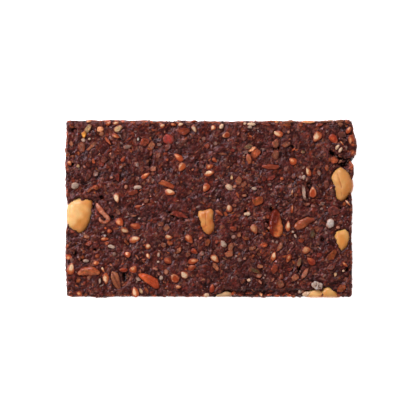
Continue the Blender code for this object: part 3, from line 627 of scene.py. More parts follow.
def add_mesh(name, points, faces, tint, slot, finish=None, replaces=(), soft=True):
    """A piece made from points and faces, with a colour at each point. Nothing lies below the floor."""
    points[:, 2] = np.maximum(points[:, 2], FLOOR_GAP)
    mesh = bpy.data.meshes.new(name)
    mesh.from_pydata(points.tolist(), [], faces.tolist())
    colours = mesh.color_attributes.new("Tint", "FLOAT_COLOR", "POINT")
    rows = np.ones((len(points), 4), np.float32)
    rows[:, :3] = light_of(tint.reshape(-1, 3))
    colours.data.foreach_set("color", rows.ravel())
    mesh.materials.append(MATERIALS[finish or slot])
    mesh.validate()
    if soft:
        mesh.shade_smooth()
    obj = bpy.data.objects.new(name, mesh)
    bpy.context.scene.collection.objects.link(obj)
    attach(obj, "root")
    if replaces:
        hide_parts(*replaces)


def surface_of(points, faces):
    """A mesh's surface, to find places on it."""
    return BVHTree.FromPolygons([Vector(p) for p in points], faces.tolist())


def add_node(tree, kind, inputs=None, **settings):
    """A new node with these settings and inputs."""
    node = tree.nodes.new(kind)
    for name, value in settings.items():
        setattr(node, name, value)
    set_inputs(tree, node, inputs or {})
    return node


def set_inputs(tree, node, inputs):
    """Gives each of the node's inputs its value, or links it to another node's output."""
    for name, value in inputs.items():
        if isinstance(value, bpy.types.NodeSocket):
            tree.links.new(value, node.inputs[name])
        else:
            node.inputs[name].default_value = value


def mapped(tree, value, start, end, low, high):
    """The value, which goes from start to end, made to go from low to high."""
    inputs = {"Value": value, "From Min": start, "From Max": end, "To Min": low, "To Max": high}
    return add_node(tree, "ShaderNodeMapRange", inputs).outputs["Result"]


def make_material(name, finish):
    """A sticky food surface: the points' colours, mottled, with a fine bump and uneven gloss."""
    material = bpy.data.materials.new(name)
    material.use_nodes = True
    tree = material.node_tree
    place = add_node(tree, "ShaderNodeTexCoord").outputs["Object"]

    def noise_of(size, detail, distortion=0.0, shift=0.0):
        moved = add_node(tree, "ShaderNodeVectorMath", {0: place, 1: (shift, shift, shift)}, operation="ADD")
        inputs = {"Vector": moved.outputs["Vector"], "Scale": 1 / (size * MM)}
        inputs |= {"Detail": detail, "Distortion": distortion}
        return add_node(tree, "ShaderNodeTexNoise", inputs).outputs["Fac"]

    def swinging(value, middle, swing):
        return mapped(tree, value, *NOISE_SPAN, middle - swing, middle + swing)

    def vector_math(operation, inputs):
        return add_node(tree, "ShaderNodeVectorMath", inputs, operation=operation).outputs["Vector"]

    mottle = swinging(noise_of(finish.mottle_size, 4), 1, finish.mottle)
    warmth = swinging(noise_of(0.7 * finish.mottle_size, 3, 0.6, 0.31), 0, finish.swing)
    gloss = swinging(noise_of(GLOSS_SIZE, 2, 0.0, 0.57), finish.roughness, finish.spread)
    warm = vector_math("MULTIPLY_ADD", {0: warmth, 1: WARM_WAY, 2: (1, 1, 1)})
    tint = add_node(tree, "ShaderNodeVertexColor", layer_name="Tint").outputs["Color"]
    swung = vector_math("MULTIPLY", {0: tint, 1: warm})
    height = noise_of(finish.bump_size, 1, 0.5)
    bump = add_node(tree, "ShaderNodeBump", {"Strength": 1.0, "Distance": finish.bump * MM, "Height": height})
    set_inputs(tree, tree.nodes["Principled BSDF"], {
        "Base Color": vector_math("SCALE", {0: swung, "Scale": mottle}),
        "Roughness": gloss,
        "Normal": bump.outputs["Normal"],
        "Specular IOR Level": finish.specular,
        "Specular Tint": GLOSS_TINT,
        "Subsurface Weight": finish.soft,
        "Subsurface Radius": SOFT_WAYS,
        "Subsurface Scale": SOFT_DEPTH,
    })
    return material


def box_shell(counts):
    """Places on a box cut into counts cells along X, Y and Z, as steps, and the quads between them."""
    quads = []
    for axis in range(3):
        a = (axis + 1) % 3
        b = (axis + 2) % 3
        u, v = np.meshgrid(np.arange(counts[a]), np.arange(counts[b]), indexing="ij")
        for side in (0, counts[axis]):
            corners = np.zeros((u.size, 4, 3), int)
            corners[:, :, axis] = side
            for corner, (du, dv) in enumerate(((0, 0), (1, 0), (1, 1), (0, 1))):
                corners[:, corner, a] = u.ravel() + du
                corners[:, corner, b] = v.ravel() + dv
            quads.append(corners if side else corners[:, ::-1])
    quads = np.concatenate(quads)
    steps, index = np.unique(quads.reshape(-1, 3), axis=0, return_inverse=True)
    return steps, index.reshape(-1, 4)


def rounded(flat):
    """The points of the square slab moved onto the rounded one, and the ways out of its surface."""
    foot = FOOT_ROUND * (1 - smooth(flat[:, 2], 0, 2 * FOOT_ROUND))
    low = np.array([EDGE_ROUND - LENGTH / 2, EDGE_ROUND - WIDTH / 2, 0])
    high = np.array([LENGTH / 2 - EDGE_ROUND, WIDTH / 2 - EDGE_ROUND, THICKNESS - EDGE_ROUND])
    core = np.clip(flat, low, high)
    out = flat - core
    length = np.linalg.norm(out, axis=1)
    under = length < 1e-9
    way = out / np.where(under, 1, length)[:, None]
    side = np.hypot(way[:, 0], way[:, 1])
    reach = np.where(under, 0, EDGE_ROUND - foot * side)
    way[under] = (0, 0, -1)
    return core + way * reach[:, None], way


def faces_up(ways):
    """Which points belong to the top rather than the sides or the underside."""
    return ways[:, 2] > 0.5


def outline_push(flat):
    """How far the bumps and dents of the outline move the points of the sides."""
    x, y = flat[:, 0], flat[:, 1]
    sides = {
        "right": ((1, 0, 0), y, x - LENGTH / 2),
        "left": ((-1, 0, 0), y, -x - LENGTH / 2),
        "back": ((0, 1, 0), x, y - WIDTH / 2),
        "front": ((0, -1, 0), x, -y - WIDTH / 2),
    }
    moved = np.zeros_like(flat)
    for way, _, inside in sides.values():
        moved += np.outer(SIDE_PUSH * smooth(inside, *SIDE_BAND), way)
    for bump in BUMPS:
        way, along, inside = sides[bump.side]
        share = bell(along / MM - bump.along, bump.reach)
        moved += np.outer(bump.push * MM * share * smooth(inside, *SIDE_BAND), way)
    return moved


def to_polyline(x, y, points):
    """The distance from each place to a line through points in mm."""
    nearest = np.full(len(x), np.inf)
    for start, end in zip(points, points[1:]):
        a = np.array(start) * MM
        run = np.array(end) * MM - a
        along = np.clip(((x - a[0]) * run[0] + (y - a[1]) * run[1]) / (run @ run), 0, 1)
        nearest = np.minimum(nearest, np.hypot(x - a[0] - run[0] * along, y - a[1] - run[1] * along))
    return nearest


def top_drop(points):
    """How far the crack, its pit, the hollows and the broken front edge lower the top, and how much
    painted shade lies in them and along the foot of the broken edge."""
    x, y = points[:, 0], points[:, 1]
    crack = CRACK_DEPTH * bell(to_polyline(x, y, CRACK), CRACK_HALF)
    pit = CRACK_DEPTH * bell(to_polyline(x, y, PITS), PIT_HALF)
    beyond = LEDGE_BACK + layer("ledge_line", np.column_stack((x, 0 * x, 0 * x))) - y
    along = smooth(x, LEDGE_FROM - MM, LEDGE_FROM) * smooth(LEDGE_TO + MM - x, 0, MM)
    ledge = LEDGE_DROP * smooth(beyond, -0.25 * MM, 0.3 * MM) * along
    # Painted shade: a dark line along the foot of the broken edge, where the top is not lowered
    foot = bell(beyond - 0.1 * MM, 0.2 * MM) * along
    foot *= 0.75 + layer("ledge_foot", points)
    hollow = np.maximum(crack, pit)
    # Painted shade in the crack, the pit and along the foot of the broken edge
    dark = np.maximum(smooth(hollow, 0.5 * MM, 1.4 * MM), 0.7 * foot)
    ragged = 1 + layer("hollow_edge", points)
    for place_x, place_y, radius in HOLLOWS:
        away = np.hypot(x - place_x * MM, y - place_y * MM) / (HOLLOW_SPREAD * radius * MM)
        share = bell(away * ragged, 1)
        hollow = np.maximum(hollow, HOLLOW_DEPTH * share)
        # Painted shade in the hollow
        dark = np.maximum(dark, smooth(share, 0.15, 0.6))
    return np.maximum(hollow, ledge), dark


def chunks_at(points, size, seed):
    """For each point, the chunk of paste that it is in: how far inside its border as a share of the
    size, its height as a tilted facet from about -1 to 1, and a number of its own from 0 to 1."""
    shift = shift_of(seed)
    inside = np.empty(len(points))
    centres = np.empty((len(points), 3))
    for i, place in enumerate(points / size):
        gaps, nearest = noise.voronoi(Vector(place) + shift)
        inside[i] = gaps[1] - gaps[0]
        centres[i] = nearest[0]
    chance = [np.modf(np.abs(np.sin(centres @ way)) * CHANCE_SCALE)[0] for way in CHANCE_WAYS]
    tilt = np.stack(chance[:3], axis=1) - 0.5
    facet = 2 * ((points / size + np.array(shift) - centres) * tilt).sum(1) + 0.8 * (chance[3] - 0.5)
    return inside, facet, chance[4]


def ridge(fold):
    """Height of a fold, about 0 in its mean."""
    return 2.2 * fold - 0.9


def relief(points):
    """Height of the paste's lumps, how deep in a crevice each point is, which is painted as shade, its
    chunk's number, and which small bit it is in and how far."""
    warped = points + layer_ways("warp", points) + layer_ways("fine_warp", points)
    inside, facet, number = chunks_at(warped, CHUNK, 1)
    small_inside, small_facet, small_number = chunks_at(warped, SMALL_CHUNK, 2)
    fold = np.abs(layer("fold", warped))
    small_fold = np.abs(layer("small_fold", warped))
    lumps = layer("lump", points) + FOLD_HEIGHT * ridge(fold)
    lumps += SMALL_FOLD_HEIGHT * ridge(small_fold) + layer("grit", points)
    gap = smooth(layer("gap", points), -0.05, 0.35) * (1 - smooth(inside, 0.02, 0.13))
    small_gap = (1 - smooth(small_inside, 0.03, 0.18)) * smooth(layer("small_gap", points), -0.2, 0.3)
    height = layer("swell", points) + lumps + FACET_HEIGHT * facet + SMALL_FACET_HEIGHT * small_facet
    height -= GAP_DEPTH * gap + SMALL_GAP_DEPTH * small_gap
    # The gaps and the creases of the folds make the crevice mask, which is painted as near-black shade
    crease = 1 - smooth(np.minimum(fold, 1.2 * small_fold), 0.02, 0.16)
    crevice = np.maximum.reduce((gap, 0.9 * small_gap, 0.72 * crease))
    chosen = np.select([small_number < edge for edge in BIT_EDGES], range(1, len(BIT_TONES)), 0)
    return height, crevice, number, (chosen, 0.62 * smooth(small_inside, 0.04, 0.22))


def rim_at(nut, angles):
    """The distance of the nut's outline from its centre at angles in degrees, its corners rounded."""
    corners = np.array(OUTLINES[nut.name]) * NUT_SCALE * MM
    shares = np.linspace(0, 1, OUTLINE_STEPS, endpoint=False)[None, :, None]
    line = corners[:, None] + (np.roll(corners, -1, axis=0) - corners)[:, None] * shares
    line = line.reshape(-1, 2)
    turns = np.degrees(np.arctan2(line[:, 1], line[:, 0])) % 360
    order = np.argsort(turns)
    turns, reach = turns[order], np.hypot(*line.T)[order]
    wrapped = np.concatenate((turns - 360, turns, turns + 360))
    even = np.interp(np.arange(-360, 720), wrapped, np.tile(reach, 3))
    window = np.hanning(OUTLINE_ROUNDING)
    reach = np.convolve(even, window / window.sum(), "same")[360:720]
    return np.interp(angles, np.arange(361), np.append(reach, reach[0]))


def outline_share(nut, x, y):
    """How far out each place is in the outline of the nut, 1 on the outline, and the outline's reach."""
    dx, dy = x - nut.centre[0] * MM, y - nut.centre[1] * MM
    rim = rim_at(nut, np.degrees(np.arctan2(dy, dx)) % 360)
    return np.hypot(dx, dy) / rim, rim


def cap(share):
    """Height of a nut over its middle, as a share of its half height."""
    return np.clip(1 - share**ROUNDNESS, 0, 1) ** (1 / ROUNDNESS)


def named_lap(points):
    """Where one of the named lobes of paste covers a nut, from 0 to 1."""
    lap = np.zeros(len(points))
    ragged = layer("lap_edge", points)
    for x, y, radius in LAPS:
        away = np.hypot(points[:, 0] - x * MM, points[:, 1] - y * MM) / (radius * MM)
        lap = np.maximum(lap, 1 - smooth(away + ragged, 0.85, 1.05))
    return lap


def nut_level(points, ways, nut_trees):
    """How far the nearest nut's surface lies above the paste's own level at each point, along its way
    out, or a large fall where there is none."""
    level = np.full(len(points), -THICKNESS)
    for nut, tree in zip(NUTS, nut_trees):
        away = np.linalg.norm(points - np.array(nut.centre) * MM, axis=1)
        for i in np.nonzero(away < 1.5 * max(nut.half) * MM)[0]:
            start = Vector(points[i] + ways[i] * NUT_REACH)
            place, _, _, distance = tree.ray_cast(start, Vector(-ways[i]), 2 * NUT_REACH)
            if place is not None:
                level[i] = max(level[i], NUT_REACH - distance)
    return level


def pull_to_outlines(points, ways):
    """Moves the points of the top that are close to a nut's outline onto it, for a clean edge."""
    for nut in NUTS:
        share, rim = outline_share(nut, points[:, 0], points[:, 1])
        off = (NUT_MEETS - share) * rim
        pull = off * bell(off, 0.5 * CELL) * faces_up(ways)
        out = points[:, :2] - np.array(nut.centre[:2]) * MM
        points[:, :2] += out / np.linalg.norm(out, axis=1)[:, None] * pull[:, None]


def fit_top_round_nuts(points, height, ways):
    """The paste's height where it meets the nuts that show from above, and the painted shade in a ring round
    each.
    """
    dark = np.zeros(len(points))
    level = points[:, 2] + height
    for nut in NUTS:
        share, rim = outline_share(nut, points[:, 0], points[:, 1])
        index = np.nonzero((share < 1.3) & faces_up(ways))[0]
        near = share[index]
        past = (near - NUT_MEETS) * rim[index]
        top = nut.centre[2] * MM + nut.half[2] * MM * cap(np.minimum(near, 1))
        lap = smooth(layer("nut_lap", points[index]), 0.15, 0.3) * smooth(past, -0.6 * MM, -0.2 * MM)
        lap *= nut.slot == "peanut"
        lap = np.maximum(lap, named_lap(points[index]))
        old = level[index]
        below = np.minimum(old, np.maximum(top - 0.3 * MM, old - NUT_DIG))
        free = old + (below - old) * (1 - smooth(past, -0.25 * MM, 0.1 * MM))
        over = np.maximum(old, top + LAP_RISE * (1 - smooth(near, 0.9, 1.1)))
        level[index] = free + (over - free) * lap
        # Painted shade in a ring where the paste meets the nut, except under the laps
        crevice = bell(past, NUT_CREVICE) * (1 - lap)
        dark[index] = np.maximum(dark[index], 0.75 * crevice)
    return level - points[:, 2], dark


def fit_sides_round_nuts(points, height, ways, nut_trees):
    """The paste's height where it meets the nuts in the sides, and the painted shade where they come out of
    it.
    """
    aside = np.nonzero(~faces_up(ways))[0]
    level = nut_level(points[aside], ways[aside], nut_trees)
    shows = smooth(level, -NUT_SHOWS, 0.3 * MM - NUT_SHOWS)
    below = np.minimum(height[aside], level - 0.25 * MM)
    height = height.copy()
    height[aside] += (below - height[aside]) * shows
    dark = np.zeros(len(points))
    # Painted shade where the nut just comes out of the paste
    dark[aside] = 0.6 * bell(level + NUT_SHOWS, 0.3 * MM)
    return height, dark


def fit_round_pieces(points, height, ways):
    """The paste's height round the pieces of the top and the painted shadow there: it lies lower under
    each, and opens in a crevice on the side away from the light, which is painted dark as a cast shadow."""
    top = np.nonzero(faces_up(ways))[0]
    x, y = points[top, 0], points[top, 1]
    level = height[top]
    swell = layer("swell", points[top])
    painted_shadow = np.zeros(len(top))
    ragged = layer("piece_edge", points[top])
    for piece in TOP_PIECES:
        dx, dy = x - piece.x * MM, y - piece.y * MM
        close = np.nonzero(np.hypot(dx, dy) < 1.6 * piece.long * MM + 0.4 * MM)[0]
        dx, dy = dx[close], dy[close]
        turn = math.radians(piece.turn)
        u = (dx * math.cos(turn) + dy * math.sin(turn)) / (piece.long * MM)
        v = (dy * math.cos(turn) - dx * math.sin(turn)) / (piece.wide * MM)
        outside = (np.hypot(u, v) - 1) * min(piece.long, piece.wide)
        lower = np.minimum(level[close], swell[close] - PIECE_DROP)
        level[close] += (lower - level[close]) * (1 - smooth(outside + ragged[close], -0.22, 0.05))
        # Painted shadow on each piece's side away from the key lights, towards the front right
        away = (dx - dy) / (np.hypot(dx, dy) + 1e-9) / math.sqrt(2)
        crevice = bell(outside - 0.08, 0.20) * smooth(away, -0.1, 0.7)
        level[close] -= PIECE_DROP * crevice
        painted_shadow[close] = np.maximum(painted_shadow[close], crevice)
    for _, places in HUSKS:
        beyond = to_polyline(x, y, [place[:2] for place in places]) - places[1][2] * MM
        lower = np.minimum(level, swell - HUSK_DROP)
        level += (lower - level) * (1 - smooth(beyond + ragged * MM, -0.2 * MM, 0.1 * MM))
    height = height.copy()
    height[top] = level
    dark = np.zeros(len(points))
    dark[top] = 0.8 * painted_shadow
    return height, dark


def paste_tint(points, dark, number, bits):
    """The paste's colour: plum brown, mauve and red-brown in small patches, with painted shade near black in
    its crevices and hollows and painted light along its top edges.
    """
    red = smooth(layer("red", points) + layer("fine_red", points), 0.05, 0.75)
    grey = smooth(layer("grey", points) + layer("fine_grey", points), -0.1, 0.6)
    tint = blend(blend(PLUM, MAUVE, 0.6 * grey), RED_BROWN, 0.55 * red)
    chosen, inside = bits
    tint = blend(tint, np.array(BIT_TONES)[chosen], inside * (chosen > 0))
    tint *= (0.86 + 0.26 * np.modf(number * 7.3)[0] + layer("shade", points))[:, None]
    # Painted light: a red-orange band along the top edges
    rim = np.minimum(LENGTH / 2 - np.abs(points[:, 0]), WIDTH / 2 - np.abs(points[:, 1]))
    band = smooth(points[:, 2], THICKNESS - 2.2 * MM, THICKNESS - 0.8 * MM)
    band *= smooth(layer("edge_band", points), -0.35, 0.25)
    band *= 1 - smooth(rim + layer("edge_width", points), 0, 0.8 * MM)
    # Painted shade over all of it, near black in the crevices, the hollows and beside the pieces and nuts
    return blend(blend(tint, PAINTED_EDGE_LIGHT, 0.85 * band), CREVICE_SHADE, dark)


def make_paste(nut_trees):
    """The slab of paste, dug out where nuts lie in it and shaped round its pieces. Gives its surface."""
    counts = [round(size / CELL) for size in (LENGTH, WIDTH, THICKNESS)]
    steps, faces = box_shell(counts)
    flat = steps / np.array(counts) * (LENGTH, WIDTH, THICKNESS) - (LENGTH / 2, WIDTH / 2, 0)
    points, ways = rounded(flat)
    height, crevice, number, bits = relief(points)
    height *= 1 - 0.72 * (1 - np.abs(ways[:, 2]))
    under = ways[:, 2] < -0.5
    height[under] = -np.clip(0.15 * MM - height[under], 0, 0.6 * MM)
    height, round_pieces = fit_round_pieces(points, height, ways)
    upper = smooth(flat[:, 2], 0.45 * THICKNESS, 0.95 * THICKNESS)
    points = points + outline_push(flat)
    pull_to_outlines(points, ways)
    height, round_nuts = fit_top_round_nuts(points, height, ways)
    height, side_nuts = fit_sides_round_nuts(points, height, ways, nut_trees)
    drop, hollow = top_drop(points)
    points += ways * height[:, None]
    points[:, 2] -= upper * drop
    beyond = np.maximum(points[:, 0] + points[:, 1] - CORNER_CUT, 0)
    points[:, :2] -= beyond[:, None] / 2
    # Painted shade, gathered from the crevices, the shadows beside the pieces, the rings round the nuts and
    # the hollows
    dark = np.maximum.reduce((0.85 * crevice, round_pieces, round_nuts, side_nuts, upper * hollow))
    add_mesh("paste", points, faces, paste_tint(points, dark, number, bits), "paste", replaces=["bar"])
    return surface_of(points, faces)


def near_corner(place):
    """Whether a place of the sides is close to one of the slab's twelve edges."""
    past = (abs(place.x) > LENGTH / 2 - CORNER_CLEAR) + (abs(place.y) > WIDTH / 2 - CORNER_CLEAR)
    return past == 2 or place.z > THICKNESS - TOP_CLEAR or place.z < FOOT_CLEAR


def spots_on_side(tree, way, spacing, draw):
    """Places spread evenly over one side of the slab, found by lines from outside it."""
    way = Vector(way)
    first = Vector((0, 1, 0)) if abs(way.x) > 0.5 else Vector((1, 0, 0))
    second = way.cross(first)
    sizes = Vector((LENGTH, WIDTH, THICKNESS))
    centre = Vector((0, 0, THICKNESS / 2))
    runs = [sum(abs(axis[i]) * sizes[i] for i in range(3)) for axis in (first, second)]
    counts = [max(1, round(run / spacing)) for run in runs]
    spots = []
    for i in range(counts[0]):
        for j in range(counts[1]):
            u = (i + draw.random()) * runs[0] / counts[0] - runs[0] / 2
            v = (j + draw.random()) * runs[1] / counts[1] - runs[1] / 2
            start = centre + first * u + second * v + way * LENGTH
            place, normal, _, _ = tree.ray_cast(start, -way)
            if place is None or (abs(way.z) < 0.5 and near_corner(place)):
                continue
            spots.append(Spot(place, normal, way))
    return spots


def spots_round(trees, ways, draw, spacing, gap):
    """Places all over the sides that have these ways out, clear of the nuts by the gap."""
    spots = [spot for way in ways for spot in spots_on_side(trees.paste, way, spacing, draw)]
    return [spot for spot in spots if clear_of_nuts(spot, trees.nuts, gap)]


def clear_of_nuts(spot, nut_trees, gap):
    """Whether the place is outside all the nuts by the gap, and outside the white flake."""
    away = math.hypot(spot.place.x / MM - FLAKE[0], spot.place.y / MM - FLAKE[1])
    if away < FLAKE_SIZE[0] + FLAKE_CLEAR and spot.way.z > -0.5:
        return False
    for tree in nut_trees:
        nearest, out, _, distance = tree.find_nearest(spot.place)
        if distance < gap or (spot.place - nearest).dot(out) < 0:
            return False
    return True


def clear_of_pieces(spot):
    """Whether a place of the top is outside all the pieces that have places of their own."""
    x, y = spot.place.x / MM, spot.place.y / MM
    if spot.way.z < 0.5:
        return True
    for piece in TOP_PIECES:
        if math.hypot(x - piece.x, y - piece.y) < 0.5 * (piece.long + piece.wide) + PIECE_CLEAR:
            return False
    places = [place for _, places in HUSKS for place in places]
    return all(math.hypot(x - place[0], y - place[1]) > place[2] + HUSK_CLEAR for place in places)


def top_spots(pieces):
    """The places of the top's own pieces, at the paste's broad level there."""
    flat = np.array([(piece.x * MM, piece.y * MM, THICKNESS) for piece in pieces])
    drops, _ = top_drop(flat)
    heights = THICKNESS + layer("swell", flat) - np.where(flat[:, 1] < LEDGE_BACK, drops, 0)
    return [Spot(Vector((x, y, z)), Vector(UP), Vector(UP)) for (x, y, _), z in zip(flat, heights)]


def inner(spot):
    """Whether a place of the top or the underside is well inside the outline seen from above."""
    place = spot.place
    return abs(spot.way.z) > 0.5 and abs(place.x) < LENGTH / 2 - MM and abs(place.y) < WIDTH / 2 - MM


def frames_for(ways, turns):
    """For each way up and turn about it, the axes along, across and up, as columns."""
    ways = np.array(ways, float)
    turns = np.asarray(turns)[:, None]
    base = np.where(np.abs(ways[:, :1]) > 0.7, (0, 1, 0), (1, 0, 0))
    first = base - ways * (base * ways).sum(1)[:, None]
    first /= np.linalg.norm(first, axis=1)[:, None]
    second = np.cross(ways, first)
    along = np.cos(turns) * first + np.sin(turns) * second
    return np.stack((along, np.cross(ways, along), ways), axis=2)


def leaning(spots, draw, share, tilt):
    """Ways up between the slab's side and its surface at the spots, each tilted a little."""
    ways = []
    for spot in spots:
        wobble = Vector([draw.gauss(0, tilt) for _ in range(3)])
        ways.append((spot.way * (1 - share) + spot.out * share + wobble).normalized())
    return ways


def stamp(shapes, faces, spots, depths, ways, turns):
    """Copies of a shape, each with its own points, turned and sunk to its depth at its spot."""
    count, corners = shapes.shape[:2]
    places = [spot.place - spot.way * depth for spot, depth in zip(spots, depths)]
    points = np.einsum("nvj,nij->nvi", shapes, frames_for(ways, turns)) + np.array(places)[:, None]
    shifted = faces[None] + (np.arange(count) * corners)[:, None, None]
    return points.reshape(-1, 3), shifted.reshape(-1, faces.shape[1])


def tube_faces(sides, circles):
    """The faces of a tube of circles, closed at each end by a point. The two come after the circles."""
    first, last = circles * sides, circles * sides + 1
    end = (circles - 1) * sides
    faces = []
    for i in range(sides):
        j = (i + 1) % sides
        for start in range(0, end, sides):
            a, b = start + i, start + j
            faces += [(a, a + sides, b + sides), (a, b + sides, b)]
        faces += [(first, i, j), (last, end + j, end + i)]
    return np.array(faces)


def chip_shapes(halves, rng, sides, levels):
    """Flat angular chips with bevelled rims: points for each chip, each point's share of the way out,
    and the faces of one."""
    count = len(halves)
    angles = np.linspace(0, 2 * np.pi, sides, endpoint=False)
    towards = np.linspace(0, 2 * np.pi, CHIP_CUTS, endpoint=False)
    towards = towards + rng.uniform(-0.45, 0.45, (count, CHIP_CUTS))
    distance = rng.uniform(0.66, 1.0, (count, CHIP_CUTS))
    facing = np.clip(np.cos(angles[None, :, None] - towards[:, None]), 0.15, 1)
    reach = np.minimum((distance[:, None] / facing).min(axis=2), 1.1)
    reach *= rng.uniform(0.93, 1.05, (count, sides))
    ring = np.stack((np.cos(angles) * reach, np.sin(angles) * reach), axis=2)
    tops = rng.uniform(-0.35, 0.35, (count, 2))
    points = []
    for share, height in levels:
        uneven = rng.uniform(-0.14, 0.14, (count, sides)) * (height > 0.5)
        z = height + uneven + (tops[:, None] * ring).sum(2) * (height > 0)
        points.append(np.dstack((ring * share, z)))
    points.append(np.tile(((0, 0, -1), (0, 0, 1)), (count, 1, 1)))
    shares = np.append(np.repeat([share for share, _ in levels], sides), (0, 0))
    shapes = np.concatenate(points, axis=1) * halves[:, None]
    return shapes, shares, tube_faces(sides, len(levels))[:, ::-1]


def ball_shape(segments, rings):
    """A unit ball's points and faces, its poles on the X axis."""
    turns = np.linspace(0, 2 * np.pi, segments, endpoint=False)
    falls = np.linspace(0, np.pi, rings + 1)[1:-1]
    x = np.repeat(np.cos(falls), segments)
    y = np.outer(np.sin(falls), np.cos(turns)).ravel()
    z = np.outer(np.sin(falls), np.sin(turns)).ravel()
    points = np.vstack((np.column_stack((x, y, z)), (1, 0, 0), (-1, 0, 0)))
    return points, tube_faces(segments, rings - 1)


def rough_ball_shapes(halves, rng, roughness, segments, rings):
    """Uneven balls: points for each, and the faces of one."""
    points, faces = ball_shape(segments, rings)
    uneven = rng.uniform(1 - roughness, 1 + roughness, (len(halves), len(points), 1))
    return points[None] * uneven * halves[:, None], faces


def tones_of(names, rng, corners, spread):
    """A colour for each piece by the name of its tone, a little lighter or darker by chance."""
    picked = np.array([TONES[name] for name in names], float)
    picked = picked * rng.uniform(1 - spread, 1 + spread, (len(names), 1))
    return np.repeat(picked[:, None], corners, axis=1)


def chip_tint(names, shapes, halves, shares, rng, spread):
    """Colours of chips: each lighter on one side, uneven, and taking the paste's colour at its rim."""
    count, corners = shapes.shape[:2]
    tint = tones_of(names, rng, corners, spread)
    side = rng.uniform(0, 2 * np.pi, (count, 1))
    across = shapes[:, :, 0] * np.cos(side) + shapes[:, :, 1] * np.sin(side)
    tint = tint * (1 + 0.20 * across / halves[:, :1] + rng.uniform(-0.1, 0.1, (count, corners)))[:, :, None]
    rim = np.tile(smooth(shares, 0.6, 0.98), (count, 1))
    low = 1 - smooth(shapes[:, :, 2] / halves[:, 2:], -0.3, 0.8)
    warm = rng.uniform(0, 1, (count, 1)) * rng.uniform(0.3, 1, (count, corners))
    stain = np.maximum(0.8 * rim, 0.8 * low) * rng.uniform(0.6, 1, (count, corners))
    return blend(tint, blend(PLUM, STAIN, warm), stain)


def turns_of(pieces):
    """How far each piece is turned, in radians."""
    return [math.radians(piece.turn) for piece in pieces]


def chances(seed):
    """Two sources of chance that start from the seed."""
    return random.Random(seed), np.random.default_rng(seed)


def make_chips():
    """The flat angular chips of seeds and nuts that can be told apart on the top."""
    draw, rng = chances(5)
    halves = np.array([(chip.long, chip.wide, min(0.28, 0.6 * chip.wide)) for chip in TOP_CHIPS]) * MM
    halves *= CHIP_SCALE
    spots = top_spots(TOP_CHIPS)
    shapes, shares, faces = chip_shapes(halves, rng, sides=18, levels=CHIP_LEVELS)
    ways = leaning(spots, draw, share=0, tilt=0.07)
    depths = rng.uniform(0.06, 0.16, len(spots)) * MM
    points, faces = stamp(shapes, faces, spots, depths, ways, turns_of(TOP_CHIPS))
    names = [chip.tone for chip in TOP_CHIPS]
    tint = chip_tint(names, shapes, halves, shares, rng, spread=0.06).reshape(-1, 3)
    tint = blend(tint, STAIN, 0.3 * smooth(layer("chip_stain", points), 0.05, 0.5))
    tint *= (1 + layer("chip_mottle", points))[:, None]
    add_mesh("chips", points, faces, tint, "chips", soft=False)


def within_outline(points):
    """The points moved back to the bar's outline where they would stick out of it."""
    box = np.array((LENGTH / 2, WIDTH / 2))
    pushed = outline_push(np.clip(points, (*-box, 0), (*box, THICKNESS)))[:, :2]
    flat = points[:, :2]
    low = np.where(flat < 0, -box - OUTLINE_SLACK, -np.inf) + pushed
    high = np.where(flat > 0, box + OUTLINE_SLACK, np.inf) + pushed
    return np.column_stack((np.clip(flat, low, high), points[:, 2]))


def make_small_chips(trees):
    """Small chips flush in the paste all over, larger ones among them on the sides and the underside."""
    draw, rng = chances(15)
    spots = spots_round(trees, SIDES, draw, spacing=2.0 * MM, gap=0.5 * MM)
    spots = [spot for spot in spots if clear_of_pieces(spot)]
    halves = []
    names = []
    for spot in spots:
        top = spot.way.z > 0.5
        long = draw.uniform(0.3, 0.95) if top else min(1.8, draw.lognormvariate(-0.25, 0.4))
        wide = long * draw.uniform(0.35, 0.9)
        halves.append((long, wide, min(0.26, 0.6 * wide)))
        names.append(draw.choice(LOW_TONES if top or draw.random() < 0.6 else SIDE_TONES))
    halves = np.array(halves) * MM
    shapes, shares, faces = chip_shapes(halves, rng, sides=8, levels=SMALL_CHIP_LEVELS)
    ways = leaning(spots, draw, share=0.3, tilt=0.20)
    depths = rng.uniform(0.05, 0.30, len(spots)) + [0.0 if inner(spot) else 0.2 for spot in spots]
    turns = rng.uniform(0, 2 * np.pi, len(spots))
    points, faces = stamp(shapes, faces, spots, depths * MM, ways, turns)
    tint = chip_tint(names, shapes, halves, shares, rng, spread=0.12)
    add_mesh("small_chips", within_outline(points), faces, tint, "chips", soft=False)


def make_crumbs(trees):
    """The smallest crumbs, in the paste's own tones."""
    draw, rng = chances(6)
    spots = spots_round(trees, SIDES, draw, spacing=1.4 * MM, gap=0.3 * MM)
    spots = [spot for spot in spots if clear_of_pieces(spot)]
    count = len(spots)
    size = MM * rng.uniform(0.12, 0.38, count)
    halves = np.stack((size * rng.uniform(1, 2.6, count), size, size * 0.8), axis=1)
    shapes, faces = rough_ball_shapes(halves, rng, roughness=0.32, segments=6, rings=4)
    ways = leaning(spots, draw, share=0.5, tilt=0.3)
    depths = size * [0.55 if inner(spot) else 0.8 for spot in spots]
    points, faces = stamp(shapes, faces, spots, depths, ways, rng.uniform(0, 2 * np.pi, count))
    names = [draw.choice(LOW_TONES if draw.random() < 0.92 else SIDE_TONES) for _ in spots]
    tint = tones_of(names, rng, shapes.shape[1], spread=0.15)
    add_mesh("crumbs", within_outline(points), faces, tint, "chips", soft=False)


